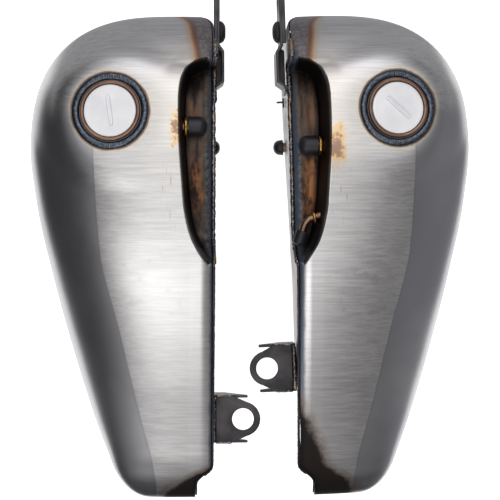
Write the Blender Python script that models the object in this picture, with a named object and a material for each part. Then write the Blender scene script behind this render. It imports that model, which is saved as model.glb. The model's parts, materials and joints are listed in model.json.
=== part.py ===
"""Split motorcycle fuel tank: a left and a right tank that sit on either side of the frame's backbone.

Frame: +X to the rider's right, +Y forward, +Z up, origin under the middle of the pair at the lowest face.
Every shape is worked out in millimetres for one half, with u measured outwards from the middle plane, and is
then placed on the left (X = -u) or the right (X = +u).
"""

import math

import bpy
import numpy as np
from mathutils import Matrix, Vector

MM = 0.001
LEFT, RIGHT = -1, 1
SIDE_NAMES = {LEFT: "left", RIGHT: "right"}

# The right half was set down slightly turned, seen from above, about this point (X, Y in millimetres)
RIGHT_TURN, RIGHT_PIVOT = math.radians(1.95), (20.0, 100.0)

# Driving dimensions, in millimetres
ROUND, SMALL_ROUND, BUNG_ROUND = 28, 14, 32
GAP = 0.3
SHEET = 1.2
NOSE_Y, TAIL_Y = 246.0, -267.4
END_ROW = 0.4
NOSE_CORE_U, TAIL_CORE_U = 80.0, 100.0
NOSE_START_Y, NOSE_POWER = 95.0, 2.6
SEAM_EDGE = SHEET + 1.0

FILLER_U, FILLER_Y = 143.0, 137.0
FILLER_SLOPE_U, FILLER_SLOPE_Y = -0.11, -0.06
PAD_FLAT_R, PAD_BLEND_R = 38.0, 84.0
NECK_R, NECK_TUBE_R, NECK_BORE_R, NECK_SEAT_R = 29.6, 27.0, 23.6, 26.5
NECK_TOP, NECK_STEP, NECK_BOTTOM, NECK_SEAT = 3.0, -4.0, -16.0, -2.6
WELD_OUTER_R = 38.0
PLUG_HEAD_R, PLUG_BARREL_R, PLUG_BARREL_END = 25.9, 22.9, -13.0
PLUG_HEAD_BASE, PLUG_HEAD_TOP = -0.6, 2.8
GRIP_WAY = {LEFT: (0.14, 1.0), RIGHT: (1.0, -0.93)}

RECESS_DEPTH, RECESS_WALL, RECESS_LIP = 58.0, 6.0, 2.0

VENT_Y = {LEFT: 125.0, RIGHT: 105.0}
VENT_Z = 169.0
VENT_TUBE_R, VENT_BORE_R, CAP_R = 6.3, 4.3, 10.6
VENT_INNER_U, VENT_RING_U, VENT_END_U, CAP_OPEN_U, CAP_END_U = 84.0, 67.9, 52.0, 65.9, 46.0

BREATHER_ROUTE = ((76, 36.5, 173), (57, 31.2, 173), (52.6, 28.6, 173), (49.5, 24.5, 173), (47.4, 19, 173),
                  (45.2, 13, 173))
BREATHER_R, BREATHER_CAP_R, BREATHER_CAP_LENGTH, BREATHER_IN_CAP = 3.6, 6.4, 15.0, 5.5
BREATHER_RING = ((GAP, 16.2), (3.0, 16.2), (2.4, 18.0), (GAP, 18.8))
BRAZE_RING = ((GAP, 0.0), (2.8, 0.0), (2.6, 0.9), (1.4, 1.5), (GAP, 1.7))

CROSS_Y, CROSS_Z = 114.0, 24.0
CROSS_TUBE_R, CROSS_BORE_R, CROSS_CAP_R = 5.4, 3.6, 8.6
CROSS_END_U, CROSS_CAP_END_U = 33.5, 30.0
CROSS_IN_TANK, CROSS_CAP_START = 8.0, 10.6

TAB_U, TAB_SHEET, TAB_TOP, TAB_BOTTOM = 33.3, 3.0, 142.0, 104.0
SADDLE_U, WEB_TOP = 28.5, 120.0
BUSH_Y, BUSH_Z, BUSH_HOLE_R = 228.0, 123.0, 8.0
BUSH_BORE_R, BUSH_REAR_R, BUSH_DOME_R = 4.2, 10.2, 11.6
TIP_HOLE_Y, TIP_HOLE_R = 259.0, 3.2
FLANGE_U = TAB_U + 6.2

EYE_Y = {LEFT: -180.0, RIGHT: -126.0}
EYE_U = {LEFT: 7.5, RIGHT: 10.5}
EYE_Z, EYE_SHEET, EYE_HOLE_R, EYE_NOSE_R = 100.0, 3.2, 11.6, 18.5
EYE_WELD_R = 1.8
SEAM_WELD_FRONT = (180, 184, 188, 192, 196, 202, 212)
CHANNEL_HALF, CHANNEL_SHEET, CHANNEL_DROP, CHANNEL_END_U = 25.6, 3.2, 30.0, 2.0
EYE_STRAIGHT, CHANNEL_RAKE = 18.0, 24.0

BUNG_U, BUNG_Y, BUNG_R, BUNG_BORE_R = 92.0, -165.0, 14.0, 9.4
BUNG_RING = ((BUNG_BORE_R, -3), (BUNG_R - 1, -3), (BUNG_R, -2), (BUNG_R, 7), (BUNG_BORE_R, 7))
BUNG_PLUG = ((0, -7.5), (7.5, -7.5), (11, -7), (11, -3.4), (BUNG_BORE_R - GAP, -3.4), (BUNG_BORE_R - GAP, 6),
             (0, 6))

CLIP_Y, CLIP_Z, CLIP_HALF, CLIP_HALF_HIGH = 160.0, 60.0, 5.0, 3.5
CLIP_SHEET, CLIP_REACH = 1.6, 8.0

# Curves along the length, as (y, value) knots in millimetres, y rising
OUTER_SIDE = ((-267, 135), (-230, 147.5), (-182, 165), (-105, 188.5), (-28, 208.5), (50, 225), (105, 231),
              (246, 231))
WIDEST_Z = ((-267, 70), (-180, 74), (-60, 82), (60, 88), (180, 94), (246, 98))
CROWN_Z = ((-267, 92), (-225, 108), (-190, 123), (-130, 150), (-75, 173), (-20, 193), (40, 208), (105, 216),
           (150, 214), (200, 203), (246, 194))
FLOOR_Z = ((-267, 32), (-225, 26), (-190, 17), (-145, 14), (-95, 0), (246, 0))
TOP_POWER = ((-267, 2.4), (-120, 2.5), (60, 3.0), (246, 3.0))
SEAM_U = 40.0
SEAM_FLARE = ((-267, 8), (-60, 8), (190, 3), (246, 3))
FLOOR_POWER, FLOOR_SHARE = 2.3, 0.5
NOSE_ROUND_U, TAIL_CUT_U = 27.0, 16.0
NOSE_ROUND_Y, TAIL_CUT_Y, TAIL_CUT_END_Y = 228.0, -229.0, -250.0
SEAM_ROLL_U, SEAM_ROLL_Z = 14.0, 6.0

# The recess's rim in plan, as (u, y) from front to rear
RECESS_RIM = ((36, 191), (48, 190.5), (59.5, 187), (67.5, 180), (72.5, 166), (74.5, 145), (74, 110),
              (71.5, 72), (68, 37), (60, 8), (46, -14), (36, -24))
RIM_STEPS = 8

# Embossed pads on the tunnel wall: (y, z, half length, half height, rise)
WALL_PADS = ((136, 66, 14, 20, 2.6), (-8, 70, 22, 18, 2.4), (-125, 66, 18, 16, 2.2))

COLOURS = {
    "raw_steel": ((0.33, 0.32, 0.31), 0.38, 1.0),
    "welded_steel": ((0.20, 0.17, 0.15), 0.5, 1.0),
    "bracket_steel": ((0.09, 0.09, 0.10), 0.45, 1.0),
    "brazing": ((0.55, 0.36, 0.13), 0.4, 1.0),
    "plug_plastic": ((0.85, 0.86, 0.88), 0.4, 0.0),
    "black_vinyl": ((0.02, 0.02, 0.022), 0.35, 0.0),
    "rubber": ((0.015, 0.015, 0.015), 0.6, 0.0),
}


# ---------------------------------------------------------------- shape of one half

def smooth_curve(knots, at):
    """Monotone cubic curve through the knots, held constant past both ends."""
    xs, values = np.array(knots, dtype=float).T
    slopes = np.diff(values) / np.diff(xs)
    tangents = np.zeros(len(xs))
    tangents[0], tangents[-1] = slopes[0], slopes[-1]
    for i in range(1, len(xs) - 1):
        if slopes[i - 1] * slopes[i] > 0:
            tangents[i] = 2 / (1 / slopes[i - 1] + 1 / slopes[i])
    at = np.clip(np.asarray(at, dtype=float), xs[0], xs[-1])
    i = np.clip(np.searchsorted(xs, at) - 1, 0, len(xs) - 2)
    h = xs[i + 1] - xs[i]
    t = (at - xs[i]) / h
    rise = values[i + 1] - values[i]
    start = values[i] + tangents[i] * h * t * (1 - t) ** 2
    return start + rise * t * t * (3 - 2 * t) - tangents[i + 1] * h * t * t * (1 - t)


def smoothstep(t):
    t = np.clip(t, 0, 1)
    return t * t * (3 - 2 * t)


def end_round(y, start, end, power):
    """1 up to start, then falling like a superellipse to 0 at end."""
    t = np.clip((y - start) / (end - start), 0, 1)
    return (1 - t**power) ** (1 / power)


def outer_u(y):
    """Half width at the widest height."""
    core = np.where(y > 0, NOSE_CORE_U, TAIL_CORE_U)
    ends = end_round(y, NOSE_START_Y, NOSE_Y, NOSE_POWER) * end_round(y, -225, TAIL_Y, 2.6)
    return core + (smooth_curve(OUTER_SIDE, y) - core) * ends


def seam_u(y):
    """The tunnel wall's outer face at its top edge."""
    along = np.clip((y - NOSE_ROUND_Y) / (NOSE_Y - NOSE_ROUND_Y), 0, 0.999)
    nose = NOSE_ROUND_U * (1 - np.sqrt(1 - along**2))
    tail = TAIL_CUT_U * smoothstep((TAIL_CUT_Y - y) / (TAIL_CUT_Y - TAIL_CUT_END_Y))
    return SEAM_U + nose + tail


def foot_u(y):
    """The tunnel wall's outer face at its bottom edge."""
    return seam_u(y) + smooth_curve(SEAM_FLARE, y)


def crown_z(y):
    widest = smooth_curve(WIDEST_Z, y)
    ends = end_round(y, 150, NOSE_Y, 2.3) * end_round(y, -215, TAIL_Y, 2.3)
    return widest + (smooth_curve(CROWN_Z, y) - widest) * ends


def floor_z(y):
    widest = smooth_curve(WIDEST_Z, y)
    ends = end_round(y, 180, NOSE_Y, 2.2) * end_round(y, -220, TAIL_Y, 2.2)
    return widest - (widest - smooth_curve(FLOOR_Z, y)) * ends


def recess_rim_points():
    """Dense points along the rim: a Catmull-Rom curve through its knots."""
    knots = [Vector(p) for p in RECESS_RIM]
    points = []
    for i in range(1, len(knots) - 2):
        a, b, c, d = knots[i - 1:i + 3]
        for step in range(RIM_STEPS):
            t = step / RIM_STEPS
            points.append(0.5 * (2 * b + (c - a) * t + (2 * a - 5 * b + 4 * c - d) * t * t
                                 + (3 * b - a - 3 * c + d) * t**3))
    points.append(knots[-2])
    return np.array([[p.x, p.y] for p in points])


RIM_POINTS = recess_rim_points()


def rim_u(y):
    """The rim's distance from the middle plane, 0 past both ends of the recess."""
    order = np.argsort(RIM_POINTS[:, 1])
    return np.interp(y, RIM_POINTS[order, 1], RIM_POINTS[order, 0], left=0, right=0)


def inside_rim(u, y):
    """Signed distance from the rim in plan: positive inside the recess."""
    u, y = np.broadcast_arrays(np.asarray(u, dtype=float), np.asarray(y, dtype=float))
    nearest = np.full(u.shape, 1e9)
    for a, b in zip(RIM_POINTS[:-1], RIM_POINTS[1:]):
        along = b - a
        t = np.clip(((u - a[0]) * along[0] + (y - a[1]) * along[1]) / along.dot(along), 0, 1)
        nearest = np.minimum(nearest, np.hypot(u - a[0] - t * along[0], y - a[1] - t * along[1]))
    return np.where(u < rim_u(y), nearest, -nearest)


def recess_drop(u, y):
    depth = RECESS_DEPTH * smoothstep((y + 28) / 48)
    return depth * smoothstep((inside_rim(u, y) + RECESS_LIP) / (RECESS_WALL + RECESS_LIP))


def top_z(u, y):
    """Height of the upper surface, from the seam out to the widest line."""
    low_u, high_u = seam_u(y), outer_u(y)
    widest, crown = smooth_curve(WIDEST_Z, y), crown_z(y)
    power = smooth_curve(TOP_POWER, y)
    across = np.clip((u - low_u) / (high_u - low_u), 0, 1)
    z = widest + (crown - widest) * (1 - across**power) ** (1 / power)
    z = z - SEAM_ROLL_Z * np.clip(1 - (u - low_u) / SEAM_ROLL_U, 0, 1) ** 2 * (crown - widest) / 120
    from_filler = np.hypot(u - FILLER_U, y - FILLER_Y)
    plane = filler_plane_z() + FILLER_SLOPE_U * (u - FILLER_U) + FILLER_SLOPE_Y * (y - FILLER_Y)
    flat = smoothstep((PAD_BLEND_R - from_filler) / (PAD_BLEND_R - PAD_FLAT_R))
    z = z * (1 - flat) + plane * flat
    return z - recess_drop(u, y)


def filler_plane_z():
    """The filler pad's height at the filler's middle: the plain section there."""
    y = FILLER_Y
    widest, power = smooth_curve(WIDEST_Z, y), smooth_curve(TOP_POWER, y)
    across = (FILLER_U - seam_u(y)) / (outer_u(y) - seam_u(y))
    return float(widest + (crown_z(y) - widest) * (1 - across**power) ** (1 / power)) + 0.5


def wall_u(y, z):
    """The tunnel wall's outer face at a height."""
    low, high = floor_z(y), top_z(seam_u(y) + SEAM_EDGE, y)
    return foot_u(y) + (seam_u(y) - foot_u(y)) * np.clip((z - low) / (high - low), 0, 1)


# ---------------------------------------------------------------- mesh helpers

def material(name):
    """The named material, made on first use."""
    found = bpy.data.materials.get(name)
    if found:
        return found
    colour, roughness, metallic = COLOURS[name]
    made = bpy.data.materials.new(name)
    made.use_nodes = True
    shader = made.node_tree.nodes["Principled BSDF"]
    shader.inputs["Base Color"].default_value = (*colour, 1)
    shader.inputs["Roughness"].default_value = roughness
    shader.inputs["Metallic"].default_value = metallic
    made.diffuse_color = (*colour, 1)
    return made


def placed(side, point):
    """A point (u, y, z) of one half in the frame, in metres."""
    u, y, z = point
    if side == LEFT:
        return Vector((-u, y, z)) * MM
    across, along = u - RIGHT_PIVOT[0], y - RIGHT_PIVOT[1]
    cos, sin = math.cos(RIGHT_TURN), math.sin(RIGHT_TURN)
    x = RIGHT_PIVOT[0] + across * cos - along * sin
    return Vector((x, RIGHT_PIVOT[1] + across * sin + along * cos, z)) * MM


def add_piece(name, points, faces, side, finish, origin=None, smooth_angle=40):
    """One node from (u, y, z) points in millimetres; faces wind outwards on the right-hand half."""
    mesh = bpy.data.meshes.new(name)
    place = placed(side, origin) if origin else Vector()
    corners = [tuple(placed(side, point) - place) for point in points]
    wound = [list(face) if side == RIGHT else list(reversed(face)) for face in faces]
    mesh.from_pydata(corners, [], wound)
    mesh.materials.append(material(finish))
    mesh.shade_smooth()
    mesh.set_sharp_from_angle(angle=math.radians(smooth_angle))
    piece = bpy.data.objects.new(name, mesh)
    piece.location = place
    bpy.context.scene.collection.objects.link(piece)
    return piece


def hide_as_cutter(piece):
    piece.hide_render = True
    piece.display_type = "WIRE"


def combine(piece, other, operation):
    """Adds an exact Boolean; the other object is only a tool."""
    modifier = piece.modifiers.new(other.name, "BOOLEAN")
    modifier.operation = operation
    modifier.object = other
    modifier.solver = "EXACT"
    hide_as_cutter(other)


def grid_faces(rows, columns, keep=lambda row, column: True):
    """Quads of a grid of points stored row by row, wound for rows along +Y and columns seam to outside."""
    faces = []
    for i in range(rows - 1):
        for j in range(columns - 1):
            if keep(i, j):
                a = i * columns + j
                faces.append((a, a + 1, a + columns + 1, a + columns))
    return faces


def thicken(piece):
    """Gives an open surface the sheet's thickness, inwards from its outer face."""
    modifier = piece.modifiers.new("sheet", "SOLIDIFY")
    modifier.thickness = SHEET * MM
    modifier.offset = -1
    modifier.use_even_offset = False


def drop_unused(points, faces):
    used = sorted({v for face in faces for v in face})
    renumbered = {old: new for new, old in enumerate(used)}
    return [tuple(points[v]) for v in used], [tuple(renumbered[v] for v in face) for face in faces]


def axis_frame(origin, axis):
    """Matrix whose +Z runs along the axis, with its origin at the given (u, y, z)."""
    turn = Vector(axis).normalized().to_track_quat("Z", "Y").to_matrix().to_4x4()
    return Matrix.Translation(Vector(origin)) @ turn


def turned(profile, frame, segments, closed=True):
    """Turns a profile of (radius, height) about the frame's Z. Closed: a ring. Open: ends on the axis."""
    points, faces, rings = [], [], []
    for radius, height in profile:
        if radius == 0:
            rings.append([len(points)] * segments)
            points.append(frame @ Vector((0, 0, height)))
            continue
        rings.append(list(range(len(points), len(points) + segments)))
        for step in range(segments):
            angle = 2 * math.pi * step / segments
            points.append(frame @ Vector((radius * math.cos(angle), radius * math.sin(angle), height)))
    pairs = list(zip(rings, rings[1:] + rings[:1])) if closed else list(zip(rings, rings[1:]))
    for lower, upper in pairs:
        for step in range(segments):
            after = (step + 1) % segments
            corners = (lower[step], lower[after], upper[after], upper[step])
            faces.append(tuple(dict.fromkeys(corners)))
    return [tuple(p) for p in points], faces


def swept(route, radius, sides):
    """Solid round bar along a route of (u, y, z) points."""
    route = [Vector(p) for p in route]
    points, faces = [], []
    across = Vector((0, 0, 1))
    for i, centre in enumerate(route):
        ahead = (route[min(i + 1, len(route) - 1)] - route[max(i - 1, 0)]).normalized()
        across = (across - ahead * across.dot(ahead)).normalized()
        other = ahead.cross(across)
        for step in range(sides):
            angle = 2 * math.pi * step / sides
            points.append(tuple(centre + radius * (across * math.cos(angle) + other * math.sin(angle))))
    for i in range(len(route) - 1):
        for step in range(sides):
            a, b = i * sides + step, i * sides + (step + 1) % sides
            faces.append((a, b, b + sides, a + sides))
    faces.append(tuple(reversed(range(sides))))
    faces.append(tuple(range(len(points) - sides, len(points))))
    return points, faces


def prism(outline, low, high):
    """Upright prism between two heights; its outline of (u, y) runs counter-clockwise seen from above."""
    count = len(outline)
    points = [(u, y, low) for u, y in outline] + [(u, y, high) for u, y in outline]
    sides = [(i, (i + 1) % count, (i + 1) % count + count, i + count) for i in range(count)]
    return points, sides + [tuple(reversed(range(count))), tuple(range(count, 2 * count))]


def cylinder(name, side, frame, radius, low, high, segments=ROUND):
    profile = ((0, low), (radius, low), (radius, high), (0, high))
    points, faces = turned(profile, frame, segments, closed=False)
    return add_piece(name, points, faces, side, "raw_steel")


# ---------------------------------------------------------------- shells

# Rows along the length: close together at the ends and at the recess's front wall
STATIONS = (TAIL_Y + END_ROW, -263, -252, -234, -205, -165, -125, -80, -35, -15, 2, 20, 50, 90, 130, 160,
            176, 184, 190, 196, 206, 220, 233, 241.5, NOSE_Y - END_ROW)
FLOOR_STEPS, WALL_STEPS = (0.0, 1.0), (0.33, 0.67, 1.0)
TOP_STEPS, UNDER_STEPS = 5, 5
PAN_COLUMNS, PAN_ROWS = 3, (4, 19)


def guide_u(y):
    """Line that the columns follow: the recess's rim, carried on past its ends."""
    return np.maximum(rim_u(y), 60.0)


def section_row(y):
    """One cross-section, from the top seam over the outside to the bottom seam, as (u, y, z)."""
    first = float(seam_u(y)) + SEAM_EDGE
    foot = float(foot_u(y)) + SEAM_EDGE
    widest_u, widest_z = float(outer_u(y)), float(smooth_curve(WIDEST_Z, y))
    toe = max(float(guide_u(y)) - RECESS_WALL, first + 3)
    lip = max(float(guide_u(y)) + RECESS_LIP + 1, toe + 9)
    row_u = [first + (toe - first) * t for t in FLOOR_STEPS]
    row_u += [toe + (lip - toe) * t for t in WALL_STEPS]
    power = float(smooth_curve(TOP_POWER, y))
    start = math.asin(((lip - first) / (widest_u - first)) ** (power / 2))
    for step in range(1, TOP_STEPS + 1):
        angle = start + (math.pi / 2 - start) * step / TOP_STEPS
        row_u.append(first + (widest_u - first) * math.sin(angle) ** (2 / power))
    row = [(u, y, float(top_z(u, y))) for u in row_u[:-1]]
    row.append((widest_u, y, widest_z))
    low, flat = float(floor_z(y)), foot + FLOOR_SHARE * (widest_u - foot)
    for step in range(1, UNDER_STEPS + 1):
        angle = math.pi / 2 * step / UNDER_STEPS
        u = flat + (widest_u - flat) * math.cos(angle) ** (2 / FLOOR_POWER)
        row.append((u, y, widest_z - (widest_z - low) * math.sin(angle) ** (2 / FLOOR_POWER)))
    row.append((foot, y, low))
    return row


def outer_shell(side):
    points = [p for y in STATIONS for p in section_row(y)]
    rows = len(STATIONS)
    columns = len(points) // rows
    widest = len(FLOOR_STEPS) + len(WALL_STEPS) + TOP_STEPS - 1

    def keep(row, column):
        in_pan = PAN_ROWS[0] <= row < PAN_ROWS[1] and column >= widest + UNDER_STEPS
        return not in_pan

    faces = grid_faces(rows, columns, keep)
    faces += [tuple(reversed(range(columns))), tuple(range((rows - 1) * columns, rows * columns))]
    name = f"{SIDE_NAMES[side]}_outer_shell"
    shell = add_piece(name, *drop_unused(points, faces), side, "raw_steel")
    thicken(shell)
    filler_hole = cylinder(f"{name}_filler_cutter", side, filler_frame(), NECK_R + GAP, -30, 20)
    combine(shell, filler_hole, "DIFFERENCE")
    frame = axis_frame((0, VENT_Y[side], VENT_Z), (1, 0, 0))
    vent_hole = cylinder(f"{name}_vent_cutter", side, frame, VENT_TUBE_R + GAP, 60, 92, SMALL_ROUND)
    combine(shell, vent_hole, "DIFFERENCE")
    if side == RIGHT:
        start, after = Vector(BREATHER_ROUTE[0]), Vector(BREATHER_ROUTE[1])
        frame = axis_frame(start, after - start)
        radius = BREATHER_R + GAP
        breather_hole = cylinder(f"{name}_breather_cutter", side, frame, radius, -8, 15, SMALL_ROUND)
        combine(shell, breather_hole, "DIFFERENCE")
    return shell


def pan_row(y):
    """The flat underside between the shell's lower edge and the tunnel wall."""
    foot = float(foot_u(y)) + SEAM_EDGE
    flat = foot + FLOOR_SHARE * (float(outer_u(y)) - foot)
    return [(u, y, float(floor_z(y))) for u in np.linspace(flat - 3 * GAP, foot + GAP, PAN_COLUMNS)]


def bottom_pan(side):
    ys = list(STATIONS[PAN_ROWS[0]:PAN_ROWS[1] + 1])
    ys[0] += 3 * GAP
    ys[-1] -= 3 * GAP
    points = [p for y in ys for p in pan_row(y)]
    faces = grid_faces(len(ys), PAN_COLUMNS)
    pan = add_piece(f"{SIDE_NAMES[side]}_bottom_pan", points, faces, side, "raw_steel")
    thicken(pan)
    if side == LEFT:
        frame = axis_frame((BUNG_U, BUNG_Y, 0), (0, 0, 1))
        hole = cylinder("left_bottom_pan_cutter", side, frame, BUNG_R + GAP, -20, 60, BUNG_ROUND)
        combine(pan, hole, "DIFFERENCE")
    return pan


def pad_rise(y, z):
    rise = 0.0
    for at_y, at_z, half_y, half_z, height in WALL_PADS:
        rise += height * smoothstep(1.4 - np.hypot((y - at_y) / half_y, (z - at_z) / half_z))
    return rise


def tunnel_wall(side):
    heights = np.linspace(0, 1, 6)
    points = []
    for y in (STATIONS[0] + 3.5, *STATIONS[1:-1], STATIONS[-1] - 1):
        low, high = float(floor_z(y)), float(top_z(seam_u(y) + SEAM_EDGE, y))
        for t in heights:
            z = low + (high - low) * t
            u = float(foot_u(y) + (seam_u(y) - foot_u(y)) * t)
            points.append((u - float(pad_rise(y, z)), y, z))
    faces = grid_faces(len(STATIONS), len(heights))
    wall = add_piece(f"{SIDE_NAMES[side]}_tunnel_wall", points, faces, side, "raw_steel")
    thicken(wall)
    return wall


def seam_weld(side):
    """Bead on the tunnel face of the top seam, from behind the nose corner to the end of the recess."""
    route = []
    for y in np.concatenate([np.linspace(-215, -40, 8), np.linspace(-25, 172, 12), SEAM_WELD_FRONT]):
        z = float(top_z(seam_u(y) + SEAM_EDGE, y)) - 1.2
        route.append((float(seam_u(y)) - 2.4, float(y), z))
    points, faces = swept(route, 1.7, 6)
    return add_piece(f"{SIDE_NAMES[side]}_seam_weld", points, faces, side, "welded_steel")


# ---------------------------------------------------------------- filler

def filler_normal():
    return Vector((-FILLER_SLOPE_U, -FILLER_SLOPE_Y, 1)).normalized()


def filler_frame():
    return axis_frame((FILLER_U, FILLER_Y, filler_plane_z()), filler_normal())


def filler(side):
    name, frame = SIDE_NAMES[side], filler_frame()
    origin = tuple(frame.translation)
    neck = ((NECK_TUBE_R, NECK_BOTTOM), (NECK_TUBE_R, NECK_STEP), (NECK_R, NECK_STEP),
            (NECK_R, NECK_TOP - 0.8), (NECK_R - 0.9, NECK_TOP), (NECK_SEAT_R + 0.6, NECK_TOP),
            (NECK_SEAT_R, NECK_TOP - 0.7), (NECK_SEAT_R, NECK_SEAT), (NECK_BORE_R, NECK_SEAT),
            (NECK_BORE_R, NECK_BOTTOM))
    add_piece(f"{name}_filler_neck", *turned(neck, frame, ROUND), side, "welded_steel")
    weld = ((NECK_R + GAP, GAP), (WELD_OUTER_R, GAP), (WELD_OUTER_R - 0.8, 1.1), (WELD_OUTER_R - 3, 1.9),
            (NECK_R + 1.6, 1.5), (NECK_R + GAP, 1.9))
    add_piece(f"{name}_filler_weld", *turned(weld, frame, ROUND), side, "welded_steel")
    gasket = ((NECK_BORE_R + GAP, NECK_SEAT + GAP), (NECK_SEAT_R - GAP, NECK_SEAT + GAP),
              (NECK_SEAT_R - GAP, PLUG_HEAD_BASE - GAP), (NECK_BORE_R + GAP, PLUG_HEAD_BASE - GAP))
    add_piece(f"{name}_filler_gasket", *turned(gasket, frame, ROUND), side, "rubber", origin)
    head, barrel, rim = PLUG_HEAD_TOP, PLUG_BARREL_R, PLUG_HEAD_R
    plug = ((0, -4), (barrel - 3, -4), (barrel - 3, PLUG_BARREL_END), (barrel, PLUG_BARREL_END),
            (barrel, PLUG_HEAD_BASE), (rim, PLUG_HEAD_BASE), (rim, head - 0.8), (rim - 0.8, head),
            (rim - 4, head + 0.3), (0, head + 0.5))
    plug = turned(plug, frame, ROUND, closed=False)
    piece = add_piece(f"{name}_filler_plug", *plug, side, "plug_plastic", origin)
    along = frame.to_3x3().inverted() @ Vector((*GRIP_WAY[side], 0))
    along = Vector((along.x, along.y, 0)).normalized()
    across = Vector((-along.y, along.x, 0))
    base = [along * a + across * b for a, b in ((-15.5, -2), (15.5, -2), (15.5, 2), (-15.5, 2))]
    points = [tuple(frame @ (p + Vector((0, 0, z)))) for z in (head - 1, head + 1.6) for p in base]
    faces = [(3, 2, 1, 0), (4, 5, 6, 7)] + [(i, (i + 1) % 4, (i + 1) % 4 + 4, i + 4) for i in range(4)]
    combine(piece, add_piece(f"{name}_filler_plug_bar", points, faces, side, "plug_plastic"), "UNION")


# ---------------------------------------------------------------- stubs and caps

def cap_profile(radius, bore_radius, length, depth, dome):
    """Blind vinyl cap: open at height 0, domed at its far end."""
    return ((0, depth), (bore_radius, depth), (bore_radius, 0), (radius - 0.6, 0), (radius, 0.8),
            (radius, length - dome), (radius * 0.93, length - dome * 0.55),
            (radius * 0.72, length - dome * 0.2), (radius * 0.4, length - dome * 0.04), (0, length))


def stub_frame(start_u, y, z):
    """Frame of a stub that points at the middle plane."""
    return axis_frame((start_u, y, z), (-1, 0, 0))


def tube_with_cap(side, tube_name, cap_name, frame, tube_end, cap_start, cap_end, radii):
    """Open tube and the cap pushed over it; lengths run along the frame's axis from its origin."""
    tube_r, bore_r, cap_r = radii
    tube = ((tube_r, 0), (tube_r, tube_end), (bore_r, tube_end), (bore_r, 0))
    add_piece(tube_name, *turned(tube, frame, SMALL_ROUND), side, "raw_steel")
    origin = tuple(frame @ Vector((0, 0, cap_start)))
    profile = cap_profile(cap_r, tube_r + GAP, cap_end - cap_start, tube_end - cap_start + 1.0, cap_r * 0.8)
    cap = turned(profile, stub_frame(*origin), SMALL_ROUND, closed=False)
    add_piece(cap_name, *cap, side, "black_vinyl", origin)


def vent(side):
    name, frame = SIDE_NAMES[side], stub_frame(VENT_INNER_U, VENT_Y[side], VENT_Z)
    tube_with_cap(side, f"{name}_vent_tube", f"{name}_vent_cap", frame, VENT_INNER_U - VENT_END_U,
                  VENT_INNER_U - CAP_OPEN_U, VENT_INNER_U - CAP_END_U, (VENT_TUBE_R, VENT_BORE_R, CAP_R))
    ring = [(VENT_TUBE_R + out, VENT_INNER_U - VENT_RING_U + at) for out, at in BRAZE_RING]
    add_piece(f"{name}_vent_braze", *turned(ring, frame, SMALL_ROUND), side, "brazing")


def crossover(side):
    name, start = SIDE_NAMES[side], float(wall_u(CROSS_Y, CROSS_Z)) + CROSS_IN_TANK
    frame = stub_frame(start, CROSS_Y, CROSS_Z)
    tube_with_cap(side, f"{name}_crossover_nipple", f"{name}_crossover_cap", frame, start - CROSS_END_U,
                  CROSS_CAP_START, start - CROSS_CAP_END_U,
                  (CROSS_TUBE_R, CROSS_BORE_R, CROSS_CAP_R))
    wall_piece = bpy.data.objects[f"{name}_tunnel_wall"]
    frame = axis_frame((0, CROSS_Y, CROSS_Z), (1, 0, 0))
    hole = cylinder(f"{wall_piece.name}_cutter", side, frame, CROSS_TUBE_R + GAP, 20, 70, SMALL_ROUND)
    combine(wall_piece, hole, "DIFFERENCE")


def breather():
    route = [Vector(point) for point in BREATHER_ROUTE]
    add_piece("right_breather_tube", *swept(route, BREATHER_R, 12), RIGHT, "raw_steel")
    frame = axis_frame(route[0], route[1] - route[0])
    ring = [(BREATHER_R + out, at) for out, at in BREATHER_RING]
    add_piece("right_breather_braze", *turned(ring, frame, 16), RIGHT, "brazing")
    axis = (route[-1] - route[-2]).normalized()
    origin = tuple(route[-1] - axis * BREATHER_IN_CAP)
    profile = cap_profile(BREATHER_CAP_R, BREATHER_R + GAP, BREATHER_CAP_LENGTH, BREATHER_IN_CAP + 1.0, 5.0)
    cap = turned(profile, axis_frame(origin, axis), 16, closed=False)
    add_piece("right_breather_cap", *cap, RIGHT, "black_vinyl", origin)


# ---------------------------------------------------------------- brackets

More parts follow.
